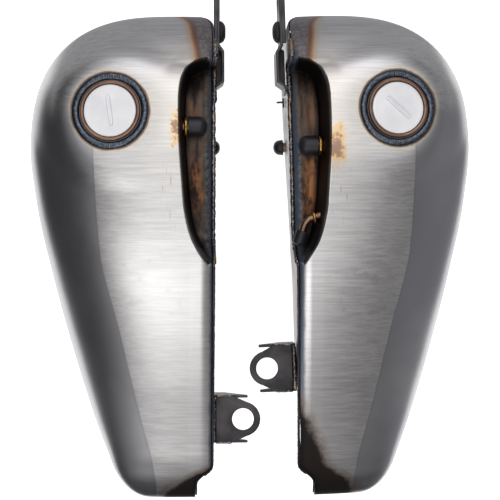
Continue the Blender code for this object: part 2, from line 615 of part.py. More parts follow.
def front_bracket(side):
    """Saddle standing off the tunnel wall, carried forward as the mounting tab with a turned top edge."""
    name, thick = SIDE_NAMES[side], TAB_SHEET
    wall = float(seam_u(190)) - GAP
    inner = ((wall - thick, 163), (wall - thick, 168), (SADDLE_U, 174), (SADDLE_U, 206), (TAB_U, 213),
             (TAB_U, 264), (TAB_U + 1, 267))
    outer = ((wall, 163), (wall, 169), (SADDLE_U + thick, 175.5), (SADDLE_U + thick, 204.5),
             (TAB_U + thick, 211.5), (TAB_U + thick, 267))
    outline = list(outer) + list(reversed(inner))
    bracket = add_piece(f"{name}_front_bracket", *prism(outline, TAB_BOTTOM, TAB_TOP), side, "bracket_steel")
    flange = ((TAB_U + thick - 1, 214), (FLANGE_U, 214), (FLANGE_U, 262), (FLANGE_U - 2.2, 266.5),
              (TAB_U + thick - 1, 266.5))
    flange = add_piece(f"{name}_tab_flange", *prism(flange, TAB_TOP - thick, TAB_TOP), side, "bracket_steel")
    combine(bracket, flange, "UNION")
    web = ((wall - 1, 166), (wall - 1, 209), (TAB_U + 1, 212), (SADDLE_U + 1, 205.5), (SADDLE_U + 1, 174.5))
    web = add_piece(f"{name}_saddle_web", *prism(web, WEB_TOP - thick, WEB_TOP), side, "bracket_steel")
    combine(bracket, web, "UNION")
    holes = (("bush", BUSH_Y, BUSH_HOLE_R, 24), ("tip", TIP_HOLE_Y, TIP_HOLE_R, 16))
    for hole, y, radius, segments in holes:
        frame = axis_frame((0, y, BUSH_Z), (1, 0, 0))
        tool = cylinder(f"{name}_{hole}_cutter", side, frame, radius, TAB_U - 4, TAB_U + 6, segments)
        combine(bracket, tool, "DIFFERENCE")
    frame = axis_frame((TAB_U + thick, BUSH_Y, BUSH_Z), (-1, 0, 0))
    waist, dome, bore, rear = BUSH_HOLE_R - GAP, BUSH_DOME_R, BUSH_BORE_R, BUSH_REAR_R
    bush = ((bore, -2.4), (rear, -2.4), (rear, -GAP), (waist, -GAP), (waist, thick + GAP),
            (dome, thick + GAP), (dome, thick + 1.8), (dome - 1.6, thick + 4.2), (dome - 5.0, thick + 6.2),
            (bore, thick + 6.6))
    add_piece(f"{name}_front_bushing", *turned(bush, frame, 20), side, "rubber")


def arc(centre, radius, start_deg, end_deg, steps):
    """Points (u, y) round a centre, both ends included."""
    angles = [math.radians(start_deg + (end_deg - start_deg) * i / steps) for i in range(steps + 1)]
    return [(centre[0] + radius * math.cos(a), centre[1] + radius * math.sin(a)) for a in angles]


def rear_bracket(side):
    """Eye plate over a channel that opens towards the middle, welded to the tunnel wall."""
    name, y = SIDE_NAMES[side], EYE_Y[side]
    low, high = EYE_Z - EYE_SHEET, EYE_Z
    back = float(min(wall_u(y - CHANNEL_HALF, high), wall_u(y + CHANNEL_HALF, high))) - 2 * GAP
    half = CHANNEL_HALF - 0.2
    edge, nose = back - 2 * EYE_WELD_R - 2 * GAP, CHANNEL_END_U + EYE_STRAIGHT
    outline = [(edge, y + half), (nose, y + half)] + arc((EYE_U[side], y), EYE_NOSE_R, 105, 255, 12)
    outline += [(nose, y - half), (edge, y - half)]
    eye = add_piece(f"{name}_rear_eye_plate", *prism(outline, low, high), side, "bracket_steel")
    frame = axis_frame((EYE_U[side], y, 0), (0, 0, 1))
    combine(eye, cylinder(f"{name}_eye_cutter", side, frame, EYE_HOLE_R, 80, 120), "DIFFERENCE")
    top, foot = low - GAP, low - CHANNEL_DROP
    t, h = CHANNEL_SHEET, CHANNEL_HALF
    channel = [(back, y + h), (CHANNEL_END_U, y + h), (CHANNEL_END_U, y + h - t), (back - t, y + h - t),
               (back - t, y - h + t), (CHANNEL_END_U, y - h + t), (CHANNEL_END_U, y - h), (back, y - h)]
    points, faces = prism(channel, foot, top)
    points = [(u + (CHANNEL_RAKE if z == foot and u == CHANNEL_END_U else 0), v, z) for u, v, z in points]
    add_piece(f"{name}_rear_channel", points, faces, side, "bracket_steel")
    bead = [(back - EYE_WELD_R - GAP, y + end, high - 1.0) for end in (h - 3, 0, 3 - h)]
    add_piece(f"{name}_rear_bracket_weld", *swept(bead, EYE_WELD_R, 8), side, "welded_steel")


def hose_clip():
    """Small spot-welded clip on the right tunnel wall."""
    back = float(wall_u(CLIP_Y, CLIP_Z)) - 3 * GAP
    front, tip = back - CLIP_SHEET, back - CLIP_REACH
    low, high = CLIP_Y - CLIP_HALF, CLIP_Y + CLIP_HALF
    spike = CLIP_Y + CLIP_SHEET
    outline = ((back, low), (back, high), (front, high), (front, spike), (tip, spike), (tip, CLIP_Y),
               (front, CLIP_Y), (front, low))
    clip = prism(outline, CLIP_Z - CLIP_HALF_HIGH, CLIP_Z + CLIP_HALF_HIGH)
    add_piece("right_hose_clip", *clip, RIGHT, "bracket_steel")


def petcock_bung():
    """Threaded fuel outlet under the left half, closed with a screw plug."""
    frame = axis_frame((BUNG_U, BUNG_Y, float(floor_z(BUNG_Y))), (0, 0, 1))
    add_piece("left_petcock_bung", *turned(BUNG_RING, frame, 20), LEFT, "welded_steel")
    add_piece("left_petcock_plug", *turned(BUNG_PLUG, frame, 24, closed=False), LEFT, "black_vinyl")


def main():
    for piece in list(bpy.data.objects):
        bpy.data.objects.remove(piece, do_unlink=True)
    for side in (LEFT, RIGHT):
        outer_shell(side)
        tunnel_wall(side)
        bottom_pan(side)
        seam_weld(side)
        filler(side)
        vent(side)
        crossover(side)
        front_bracket(side)
        rear_bracket(side)
    breather()
    hose_clip()
    petcock_bung()


main()
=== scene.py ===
"""Looks of the split fuel tank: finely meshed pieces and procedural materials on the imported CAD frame.

Shapes are worked out in millimetres for one half, with u measured outwards from the middle plane, and placed
on the left (X = -u) or the right (X = +u).
"""

import json
import math

import bpy
import numpy as np
from mathutils import Matrix, Vector, noise

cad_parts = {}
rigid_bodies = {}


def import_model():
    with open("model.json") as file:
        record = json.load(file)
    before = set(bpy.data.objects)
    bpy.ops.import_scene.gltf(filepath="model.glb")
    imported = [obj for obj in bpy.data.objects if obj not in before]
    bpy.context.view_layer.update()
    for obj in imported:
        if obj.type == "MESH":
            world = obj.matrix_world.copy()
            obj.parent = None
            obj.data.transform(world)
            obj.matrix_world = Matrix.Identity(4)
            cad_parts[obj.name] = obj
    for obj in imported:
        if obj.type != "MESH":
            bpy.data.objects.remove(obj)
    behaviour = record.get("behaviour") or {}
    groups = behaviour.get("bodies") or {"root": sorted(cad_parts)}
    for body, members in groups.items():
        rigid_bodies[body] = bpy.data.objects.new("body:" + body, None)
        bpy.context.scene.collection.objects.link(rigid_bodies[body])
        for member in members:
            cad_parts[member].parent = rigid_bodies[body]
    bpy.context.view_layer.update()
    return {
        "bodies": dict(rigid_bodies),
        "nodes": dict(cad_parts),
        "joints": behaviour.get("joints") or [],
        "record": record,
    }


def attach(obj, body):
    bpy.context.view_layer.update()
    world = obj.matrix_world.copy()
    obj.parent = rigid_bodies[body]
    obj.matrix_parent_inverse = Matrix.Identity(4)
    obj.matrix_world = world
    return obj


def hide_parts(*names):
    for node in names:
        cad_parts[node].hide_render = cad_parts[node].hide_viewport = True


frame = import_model()

MM = 0.001
LEFT, RIGHT = -1, 1
SIDE_NAMES = {LEFT: "left", RIGHT: "right"}

# The right half was set down slightly turned, seen from above, about this point (X, Y in millimetres)
RIGHT_TURN, RIGHT_PIVOT = math.radians(1.95), (20.0, 100.0)

# ---------------------------------------------------------------- dimensions, in millimetres

GAP = 0.3
SHEET = 1.2
NOSE_Y, TAIL_Y = 246.0, -267.4
END_ROW = 0.4
NOSE_CORE_U, TAIL_CORE_U = 80.0, 100.0
# Where a line starts to round off towards the nose and the tail, and its power
OUTER_ENDS, CROWN_ENDS, FLOOR_ENDS = (95.0, -225.0, 2.6), (150.0, -215.0, 2.3), (180.0, -220.0, 2.2)
SEAM_EDGE = SHEET + 1.0

FILLER_U, FILLER_Y = 143.0, 137.0
FILLER_SLOPE_U, FILLER_SLOPE_Y = -0.11, -0.06
PAD_FLAT_R, PAD_BLEND_R = 38.0, 84.0
NECK_R, NECK_TUBE_R, NECK_BORE_R, NECK_SEAT_R = 29.6, 27.0, 23.6, 26.5
NECK_TOP, NECK_STEP, NECK_BOTTOM, NECK_SEAT = 3.0, -4.0, -16.0, -2.6
WELD_OUTER_R = 38.0
PLUG_HEAD_R, PLUG_BARREL_R, PLUG_BARREL_END = 25.9, 22.9, -13.0
PLUG_HEAD_BASE, PLUG_HEAD_TOP = -0.6, 2.8
PLUG_THREADS, PLUG_PITCH = 8, 1.3
GRIP_LONG, GRIP_WIDE, GRIP_HIGH = 13.6, 2.2, 3.0
GRIP_WAY = {LEFT: (0.14, 1.0), RIGHT: (1.0, -0.93)}

RECESS_DEPTH, RECESS_WALL, RECESS_LIP = 58.0, 6.0, 2.0
RECESS_RAMP_Y, RECESS_RAMP_LENGTH = -28.0, 48.0

VENT_Y = {LEFT: 125.0, RIGHT: 105.0}
VENT_Z = 169.0
VENT_TUBE_R, VENT_BORE_R, CAP_R = 6.3, 4.3, 10.6
VENT_INNER_U, VENT_RING_U, VENT_END_U, CAP_OPEN_U, CAP_END_U = 84.0, 67.9, 52.0, 65.9, 46.0

BREATHER_ROUTE = ((76, 36.5, 173), (57, 31.2, 173), (52.6, 28.6, 173), (49.5, 24.5, 173), (47.4, 19, 173),
                  (45.2, 13, 173))
BREATHER_R, BREATHER_CAP_R, BREATHER_CAP_LENGTH, BREATHER_IN_CAP = 3.6, 6.4, 15.0, 5.5

CROSS_Y, CROSS_Z = 114.0, 24.0
CROSS_TUBE_R, CROSS_BORE_R, CROSS_CAP_R = 5.4, 3.6, 8.6
CROSS_END_U, CROSS_CAP_END_U = 33.5, 30.0
CROSS_IN_TANK, CROSS_CAP_START = 8.0, 10.6

TAB_U, TAB_SHEET, TAB_TOP, TAB_BOTTOM = 33.3, 3.0, 142.0, 104.0
SADDLE_U, WEB_TOP = 28.5, 120.0
BUSH_Y, BUSH_Z, BUSH_HOLE_R = 228.0, 123.0, 8.0
BUSH_BORE_R, BUSH_REAR_R, BUSH_DOME_R = 4.2, 10.2, 11.6
TIP_HOLE_Y, TIP_HOLE_R = 259.0, 3.2
FLANGE_U = TAB_U + 6.2

EYE_Y = {LEFT: -180.0, RIGHT: -126.0}
EYE_U = {LEFT: 7.5, RIGHT: 10.5}
EYE_Z, EYE_SHEET, EYE_HOLE_R, EYE_NOSE_R = 100.0, 3.2, 11.6, 18.5
EYE_WELD_R = 1.8
CHANNEL_HALF, CHANNEL_SHEET, CHANNEL_DROP, CHANNEL_END_U = 25.6, 3.2, 30.0, 2.0
EYE_STRAIGHT, CHANNEL_RAKE = 18.0, 24.0

BUNG_U, BUNG_Y, BUNG_R, BUNG_BORE_R = 92.0, -165.0, 14.0, 9.4

CLIP_Y, CLIP_Z, CLIP_HALF, CLIP_HALF_HIGH = 160.0, 60.0, 5.0, 3.5
CLIP_SHEET, CLIP_REACH = 1.6, 8.0

OUTER_SIDE = ((-267, 135), (-230, 147.5), (-182, 165), (-105, 188.5), (-28, 208.5), (50, 225), (105, 231),
              (246, 231))
WIDEST_Z = ((-267, 70), (-180, 74), (-60, 82), (60, 88), (180, 94), (246, 98))
CROWN_Z = ((-267, 92), (-225, 108), (-190, 123), (-130, 150), (-75, 173), (-20, 193), (40, 208), (105, 216),
           (150, 214), (200, 203), (246, 194))
FLOOR_Z = ((-267, 32), (-225, 26), (-190, 17), (-145, 14), (-95, 0), (246, 0))
TOP_POWER = ((-267, 2.4), (-120, 2.5), (60, 3.0), (246, 3.0))
SEAM_U = 40.0
SEAM_FLARE = ((-267, 8), (-60, 8), (190, 3), (246, 3))
FLOOR_POWER, FLOOR_SHARE = 2.3, 0.5
NOSE_ROUND_U, TAIL_CUT_U = 27.0, 16.0
NOSE_ROUND_Y, TAIL_CUT_Y, TAIL_CUT_END_Y = 228.0, -229.0, -250.0
SEAM_ROLL_U, SEAM_ROLL_Z = 14.0, 6.0
RECESS_RIM = ((36, 191), (48, 190.5), (59.5, 187), (67.5, 180), (72.5, 166), (74.5, 145), (74, 110),
              (71.5, 72), (68, 37), (60, 8), (46, -14), (36, -24))
WALL_PADS = ((136, 66, 14, 20, 2.6), (-8, 70, 22, 18, 2.4), (-125, 66, 18, 16, 2.2))

# Edge of the sanded top, as (y, u): outside it the steel keeps its smooth drawn face
SANDED_EDGE = ((-250, 100), (-220, 104.5), (-180, 114.5), (-80, 136.5), (0, 154.5), (100, 159.5), (240, 160))


# ---------------------------------------------------------------- shape of one half

def smooth_curve(knots, at):
    """Monotone cubic curve through the knots, held constant past both ends."""
    xs, values = np.array(knots, dtype=float).T
    slopes = np.diff(values) / np.diff(xs)
    tangents = np.zeros(len(xs))
    tangents[0], tangents[-1] = slopes[0], slopes[-1]
    for i in range(1, len(xs) - 1):
        if slopes[i - 1] * slopes[i] > 0:
            tangents[i] = 2 / (1 / slopes[i - 1] + 1 / slopes[i])
    at = np.clip(np.asarray(at, dtype=float), xs[0], xs[-1])
    i = np.clip(np.searchsorted(xs, at) - 1, 0, len(xs) - 2)
    h = xs[i + 1] - xs[i]
    t = (at - xs[i]) / h
    rise = values[i + 1] - values[i]
    start = values[i] + tangents[i] * h * t * (1 - t) ** 2
    return start + rise * t * t * (3 - 2 * t) - tangents[i + 1] * h * t * t * (1 - t)


def smoothstep(t):
    t = np.clip(t, 0, 1)
    return t * t * (3 - 2 * t)


def end_round(y, start, end, power):
    """1 up to start, then falling like a superellipse to 0 at end."""
    t = np.clip((y - start) / (end - start), 0, 1)
    return (1 - t**power) ** (1 / power)


def both_ends(y, nose_start, tail_start, power):
    return end_round(y, nose_start, NOSE_Y, power) * end_round(y, tail_start, TAIL_Y, power)


def outer_u(y):
    """Half width at the widest height."""
    core = np.where(y > 0, NOSE_CORE_U, TAIL_CORE_U)
    return core + (smooth_curve(OUTER_SIDE, y) - core) * both_ends(y, *OUTER_ENDS)


def seam_u(y):
    """The tunnel wall's outer face at its top edge."""
    ahead = np.clip((y - NOSE_ROUND_Y) / (NOSE_Y - NOSE_ROUND_Y), 0, 0.999)
    nose = NOSE_ROUND_U * (1 - np.sqrt(1 - ahead**2))
    tail = TAIL_CUT_U * smoothstep((TAIL_CUT_Y - y) / (TAIL_CUT_Y - TAIL_CUT_END_Y))
    return SEAM_U + nose + tail


def foot_u(y):
    """The tunnel wall's outer face at its bottom edge."""
    return seam_u(y) + smooth_curve(SEAM_FLARE, y)


def crown_z(y):
    widest = smooth_curve(WIDEST_Z, y)
    return widest + (smooth_curve(CROWN_Z, y) - widest) * both_ends(y, *CROWN_ENDS)


def floor_z(y):
    widest = smooth_curve(WIDEST_Z, y)
    return widest - (widest - smooth_curve(FLOOR_Z, y)) * both_ends(y, *FLOOR_ENDS)


def through(knots, steps):
    """Dense points of a Catmull-Rom curve through the knots, from the second to the last but one."""
    knots = [Vector(p) for p in knots]
    points = []
    for i in range(1, len(knots) - 2):
        a, b, c, d = knots[i - 1:i + 3]
        for step in range(steps):
            t = step / steps
            points.append(0.5 * (2 * b + (c - a) * t + (2 * a - 5 * b + 4 * c - d) * t * t
                                 + (3 * b - a - 3 * c + d) * t**3))
    return points + [knots[-2]]


RIM_POINTS = np.array([[p.x, p.y] for p in through(RECESS_RIM, 8)])


def rim_u(y):
    """The rim's distance from the middle plane, 0 past both ends of the recess."""
    order = np.argsort(RIM_POINTS[:, 1])
    return np.interp(y, RIM_POINTS[order, 1], RIM_POINTS[order, 0], left=0, right=0)


def inside_rim(u, y):
    """Signed distance from the rim in plan: positive inside the recess."""
    u, y = np.broadcast_arrays(np.asarray(u, dtype=float), np.asarray(y, dtype=float))
    nearest = np.full(u.shape, 1e9)
    for a, b in zip(RIM_POINTS[:-1], RIM_POINTS[1:]):
        along = b - a
        t = np.clip(((u - a[0]) * along[0] + (y - a[1]) * along[1]) / along.dot(along), 0, 1)
        nearest = np.minimum(nearest, np.hypot(u - a[0] - t * along[0], y - a[1] - t * along[1]))
    return np.where(u < rim_u(y), nearest, -nearest)


def recess_drop(u, y):
    depth = RECESS_DEPTH * smoothstep((y - RECESS_RAMP_Y) / RECESS_RAMP_LENGTH)
    return depth * smoothstep((inside_rim(u, y) + RECESS_LIP) / (RECESS_WALL + RECESS_LIP))


def filler_plane_z():
    """The filler pad's height at the filler's middle: the plain section there."""
    y = FILLER_Y
    widest, power = smooth_curve(WIDEST_Z, y), smooth_curve(TOP_POWER, y)
    across = (FILLER_U - seam_u(y)) / (outer_u(y) - seam_u(y))
    return float(widest + (crown_z(y) - widest) * (1 - across**power) ** (1 / power)) + 0.5


FILLER_Z = filler_plane_z()


def top_z(u, y):
    """Height of the upper surface, from the seam out to the widest line."""
    low_u, high_u = seam_u(y), outer_u(y)
    widest, crown = smooth_curve(WIDEST_Z, y), crown_z(y)
    power = smooth_curve(TOP_POWER, y)
    across = np.clip((u - low_u) / (high_u - low_u), 0, 1)
    z = widest + (crown - widest) * (1 - across**power) ** (1 / power)
    z = z - SEAM_ROLL_Z * np.clip(1 - (u - low_u) / SEAM_ROLL_U, 0, 1) ** 2 * (crown - widest) / 120
    from_filler = np.hypot(u - FILLER_U, y - FILLER_Y)
    plane = FILLER_Z + FILLER_SLOPE_U * (u - FILLER_U) + FILLER_SLOPE_Y * (y - FILLER_Y)
    flat = smoothstep((PAD_BLEND_R - from_filler) / (PAD_BLEND_R - PAD_FLAT_R))
    z = z * (1 - flat) + plane * flat
    return z - recess_drop(u, y)


def wall_u(y, z):
    """The tunnel wall's outer face at a height."""
    low, high = floor_z(y), top_z(seam_u(y) + SEAM_EDGE, y)
    return foot_u(y) + (seam_u(y) - foot_u(y)) * np.clip((z - low) / (high - low), 0, 1)


def pad_rise(y, z):
    """How far the embossed pads stand out of the tunnel wall."""
    rise = 0.0
    for at_y, at_z, half_y, half_z, height in WALL_PADS:
        rise = rise + height * smoothstep(1.4 - np.hypot((y - at_y) / half_y, (z - at_z) / half_z))
    return rise


# ---------------------------------------------------------------- mesh helpers

def turned_about(points, turn):
    """Points with X and Y turned about the right half's pivot, seen from above."""
    across, along = points[:, 0] - RIGHT_PIVOT[0], points[:, 1] - RIGHT_PIVOT[1]
    cos, sin = math.cos(turn), math.sin(turn)
    x = RIGHT_PIVOT[0] + across * cos - along * sin
    y = RIGHT_PIVOT[1] + across * sin + along * cos
    return np.column_stack([x, y, points[:, 2]])


def placed(side, points):
    """Points (u, y, z) of one half in the frame, in millimetres."""
    points = np.array([tuple(p) for p in points], dtype=float)
    return turned_about(points, RIGHT_TURN) if side == RIGHT else points * (LEFT, 1, 1)


def make_piece(name, points, faces, side, look, smooth_angle=40, masks=None):
    """One mesh from (u, y, z) points in millimetres; faces wind outwards on the right-hand half."""
    mesh = bpy.data.meshes.new(name)
    corners = placed(side, points) * MM
    wound = [list(face) if side == RIGHT else list(reversed(face)) for face in faces]
    mesh.from_pydata(corners.tolist(), [], wound)
    mesh.materials.append(look)
    mesh.shade_smooth()
    if smooth_angle:
        mesh.set_sharp_from_angle(angle=math.radians(smooth_angle))
    for label, values in (masks or {}).items():
        layer = mesh.attributes.new(label, "FLOAT", "POINT")
        layer.data.foreach_set("value", np.asarray(values, dtype=np.float32))
    piece = bpy.data.objects.new(name, mesh)
    bpy.context.scene.collection.objects.link(piece)
    return piece


def show(piece, body, slot, *nodes):
    """The piece moves with the body and stands for the CAD nodes, which it hides; the slot is not used."""
    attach(piece, body)
    if nodes:
        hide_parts(*nodes)


def grid_faces(rows, columns, closed=False, looped=False):
    """Quads of a grid of points stored row by row, wound for rows along +Y and columns seam to outside.

    Closed joins the last column to the first one, and looped the last row to the first one.
    """
    faces = []
    for i in range(rows if looped else rows - 1):
        for j in range(columns if closed else columns - 1):
            here, after = i * columns, (i + 1) % rows * columns
            right = (j + 1) % columns
            faces.append((here + j, here + right, after + right, after + j))
    return faces


def bake_modifiers(piece):
    """Replaces the mesh with its evaluated one."""
    evaluated = piece.evaluated_get(bpy.context.evaluated_depsgraph_get())
    mesh = bpy.data.meshes.new_from_object(evaluated)
    piece.modifiers.clear()
    piece.data = mesh


def thicken(piece):
    modifier = piece.modifiers.new("sheet", "SOLIDIFY")
    modifier.thickness = SHEET * MM
    modifier.offset = -1
    modifier.use_even_offset = False


def bevel(piece, width):
    modifier = piece.modifiers.new("edges", "BEVEL")
    modifier.width = width * MM
    modifier.segments = 3
    modifier.limit_method = "ANGLE"
    modifier.angle_limit = math.radians(40)
    modifier.harden_normals = False


def cut(piece, *tools):
    """Cuts the tools out of the piece and removes them."""
    for tool in tools:
        modifier = piece.modifiers.new(tool.name, "BOOLEAN")
        modifier.operation = "DIFFERENCE"
        modifier.object = tool
        modifier.solver = "EXACT"
        bake_modifiers(piece)
        bpy.data.objects.remove(tool)


def axis_frame(origin, axis):
    """Matrix whose +Z runs along the axis, with its origin at the given (u, y, z)."""
    turn = Vector(axis).normalized().to_track_quat("Z", "Y").to_matrix().to_4x4()
    return Matrix.Translation(Vector(origin)) @ turn


def filler_frame():
    normal = Vector((-FILLER_SLOPE_U, -FILLER_SLOPE_Y, 1))
    return axis_frame((FILLER_U, FILLER_Y, FILLER_Z), normal)


def rounded(profile, radius, closed=True):
    """The profile with each corner replaced by a short curve."""
    count, steps = len(profile), 4
    result = []
    for i, corner in enumerate(profile):
        if not closed and i in (0, count - 1):
            result.append(corner)
            continue
        here = Vector(corner)
        before, after = Vector(profile[i - 1]), Vector(profile[(i + 1) % count])
        reach = min(radius, (before - here).length * 0.45, (after - here).length * 0.45)
        start = here + (before - here).normalized() * reach
        end = here + (after - here).normalized() * reach
        for step in range(steps + 1):
            t = step / steps
            result.append(tuple(start * (1 - t) ** 2 + here * 2 * t * (1 - t) + end * t * t))
    return result


def turned(profile, frame, segments=96, closed=True):
    """Turns a profile of (radius, height) about the frame's Z. Closed: a ring. Open: ends on the axis."""
    points, faces, rings = [], [], []
    for radius, height in profile:
        if radius <= 1e-6:
            rings.append([len(points)] * segments)
            points.append(frame @ Vector((0, 0, height)))
            continue
        rings.append(list(range(len(points), len(points) + segments)))
        for step in range(segments):
            angle = 2 * math.pi * step / segments
            points.append(frame @ Vector((radius * math.cos(angle), radius * math.sin(angle), height)))
    pairs = list(zip(rings, rings[1:] + rings[:1])) if closed else list(zip(rings, rings[1:]))
    for lower, upper in pairs:
        for step in range(segments):
            after = (step + 1) % segments
            corners = (lower[step], lower[after], upper[after], upper[step])
            faces.append(tuple(dict.fromkeys(corners)))
    return points, faces


def swept(route, radii, sides):
    """Solid round bar along a route of (u, y, z) points, with a radius at each point."""
    route = [Vector(p) for p in route]
    points, faces = [], []
    across = Vector((0, 0, 1))
    for i, centre in enumerate(route):
        ahead = (route[min(i + 1, len(route) - 1)] - route[max(i - 1, 0)]).normalized()
        across = (across - ahead * across.dot(ahead)).normalized()
        other = ahead.cross(across)
        radius = radii if isinstance(radii, (int, float)) else radii[i]
        for step in range(sides):
            angle = 2 * math.pi * step / sides
            points.append(centre + radius * (across * math.cos(angle) + other * math.sin(angle)))
    faces = grid_faces(len(route), sides, closed=True)
    faces.append(tuple(reversed(range(sides))))
    faces.append(tuple(range(len(points) - sides, len(points))))
    return points, faces


BEAD_STEP = 0.45


def bead(route, radius, side, name, look, pitch=2.4, ripple=0.16, rough=0.25, seed=0.0):
    """Weld bead: a bar along the route with the crescent ripples and the unevenness of a hand-laid weld."""
    route = [Vector(p) for p in route]
    lengths = [0.0]
    for a, b in zip(route, route[1:]):
        lengths.append(lengths[-1] + (b - a).length)
    total = lengths[-1]
    at = np.linspace(0, total, max(int(total / BEAD_STEP), 8)).tolist()
    xyz = np.array([tuple(p) for p in route])
    line = [Vector([float(np.interp(s, lengths, xyz[:, k])) for k in range(3)]) for s in at]
    radii = []
    for s in at:
        end = math.sqrt(max(1 - max(0, 1 - min(s, total - s) / (radius * 1.6)) ** 2, 0.02))
        saw = (s / pitch + 0.35 * noise.noise(Vector((s * 0.11, seed, 3)))) % 1
        uneven = rough * noise.noise(Vector((s * 0.16, seed, 0)))
        radii.append(float(radius * end * (1 + ripple * (saw - 0.5) + uneven)))
    points, faces = swept(line, radii, sides=14)
    points = [p + 0.22 * radius * noise.noise_vector(Vector(p) * 0.45 + Vector((seed, 0, 0))) for p in points]
    return make_piece(name, points, faces, side, look, smooth_angle=0)


def prism(outline, low, high):
    """Upright prism; outline holds (u, y) counter-clockwise seen from above, low and high are heights."""
    count = len(outline)
    points = [(u, y, low) for u, y in outline] + [(u, y, high) for u, y in outline]
    sides = [(i, (i + 1) % count, (i + 1) % count + count, i + count) for i in range(count)]
    return points, sides + [tuple(reversed(range(count))), tuple(range(count, 2 * count))]


def arc(centre, radius, start_deg, end_deg, steps):
    """Points (u, y) round a centre, both ends included."""
    angles = [math.radians(start_deg + (end_deg - start_deg) * i / steps) for i in range(steps + 1)]
    return [(centre[0] + radius * math.cos(a), centre[1] + radius * math.sin(a)) for a in angles]


def cutter(side, frame, radius, low, high):
    profile = ((0, low), (radius, low), (radius, high), (0, high))
    return make_piece("cutter", *turned(profile, frame, 64, closed=False), side, None)


# ---------------------------------------------------------------- materials

class Shader:
    """Short way to write a node material: every call returns the socket that carries its result."""

    def __init__(self, name):
        self.material = bpy.data.materials.new(name)
        self.material.use_nodes = True
        self.nodes = self.material.node_tree.nodes
        self.links = self.material.node_tree.links
        self.surface = self.nodes["Principled BSDF"]
        self.place = self.nodes.new("ShaderNodeTexCoord").outputs["Object"]

    def put(self, socket, value):
        if isinstance(value, bpy.types.NodeSocket):
            self.links.new(value, socket)
        elif isinstance(value, tuple) and socket.type == "RGBA":
            socket.default_value = (*value, 1)
        else:
            socket.default_value = value

    def math(self, operation, a, b=0.0):
        node = self.nodes.new("ShaderNodeMath")
        node.operation = operation
        self.put(node.inputs[0], a)
        self.put(node.inputs[1], b)
        return node.outputs[0]

    def times(self, a, b):
        return self.math("MULTIPLY", a, b)

    def plus(self, a, b):
        return self.math("ADD", a, b)

    def above(self, value, low, high):
        """0 below low, 1 above high, smooth between."""
        node = self.nodes.new("ShaderNodeMapRange")
        node.interpolation_type = "SMOOTHSTEP"
        flip = low > high
        self.put(node.inputs["Value"], value)
        node.inputs["From Min"].default_value = min(low, high)
        node.inputs["From Max"].default_value = max(low, high)
        node.inputs["To Min"].default_value = 1.0 if flip else 0.0
        node.inputs["To Max"].default_value = 0.0 if flip else 1.0
        return node.outputs[0]

    def band(self, value, low, high, edge):
        """1 between low and high, falling to 0 over the edge's width on both sides."""
        return self.times(self.above(value, low - edge, low), self.above(value, high + edge, high))

    def noise(self, scale, stretch=(1, 1, 1), detail=3.0, roughness=0.5, offset=(0, 0, 0)):
        """Noise with its scale per metre of the object; a larger stretch packs it closer on that axis."""
        mapping = self.nodes.new("ShaderNodeMapping")
        self.put(mapping.inputs["Vector"], self.place)
        mapping.inputs["Scale"].default_value = stretch
        mapping.inputs["Location"].default_value = offset
        node = self.nodes.new("ShaderNodeTexNoise")
        self.put(node.inputs["Vector"], mapping.outputs[0])
        node.inputs["Scale"].default_value = scale
        node.inputs["Detail"].default_value = detail
        node.inputs["Roughness"].default_value = roughness
        return node.outputs["Fac"]

    def blend(self, share, first, second):
        node = self.nodes.new("ShaderNodeMix")
        node.data_type = "RGBA"
        self.put(node.inputs[0], share)
        self.put(node.inputs[6], first)
        self.put(node.inputs[7], second)
        return node.outputs[2]

    def tint(self, colour, new, *shares):
        """The colour moved towards a new one by the product of the shares."""
        share = shares[0]
        for factor in shares[1:]:
            share = self.times(share, factor)
        return self.blend(share, colour, new)

    def mask(self, name):
        node = self.nodes.new("ShaderNodeAttribute")
        node.attribute_name = name
        return node.outputs["Fac"]

    def distance(self, side, centre, stretch=(1, 1, 1)):
        """Distance from a point (u, y, z) of one half, in units of the stretch given for each axis."""
        centre = placed(side, [centre])[0]
        mapping = self.nodes.new("ShaderNodeMapping")
        self.put(mapping.inputs["Vector"], self.place)
        mapping.inputs["Scale"].default_value = [1 / (MM * s) for s in stretch]
        mapping.inputs["Location"].default_value = [-c / s for c, s in zip(centre, stretch)]
        node = self.nodes.new("ShaderNodeVectorMath")
        node.operation = "LENGTH"
        self.put(node.inputs[0], mapping.outputs[0])
        return node.outputs["Value"]

    def bump(self, height, strength, distance=0.0005):
        node = self.nodes.new("ShaderNodeBump")
        self.put(node.inputs["Height"], height)
        node.inputs["Strength"].default_value = strength
        node.inputs["Distance"].default_value = distance
        return node.outputs[0]

    def finish(self, **values):
        names = {"colour": "Base Color", "roughness": "Roughness", "metallic": "Metallic", "normal": "Normal",
                 "subsurface": "Subsurface Weight", "specular": "Specular IOR Level"}
        for key, value in values.items():
            self.put(self.surface.inputs[names[key]], value)
        return self.material


STEEL = (0.60, 0.59, 0.585)
STRAW = (0.62, 0.46, 0.24)
BROWN = (0.20, 0.10, 0.055)
BLUE = (0.11, 0.14, 0.19)
SOOT = (0.016, 0.013, 0.012)

# Each half's heat marks, in millimetres unless said otherwise
BLUED_WIDTH = {LEFT: (6.0, 2.6), RIGHT: (8.5, 4.5)}         # off the seam: where it ends, where it is full
INNER_BAND = {LEFT: 0.15, RIGHT: 0.10}                      # strength of the light band, a share
CORNER_REACH = {LEFT: 18.0, RIGHT: 20.0}
SOOT_WEDGE = {LEFT: (-226.0, 1.1), RIGHT: (-150.0, 0.44)}   # where it starts, and its spread per mm
SOOT_FADE_Z = (84.0, 48.0)                                  # heights between which it goes
FLECKS = {LEFT: (5.5, 15.0, 4.5), RIGHT: (12.0, 22.0, 1.5)} # half size across and along, raggedness


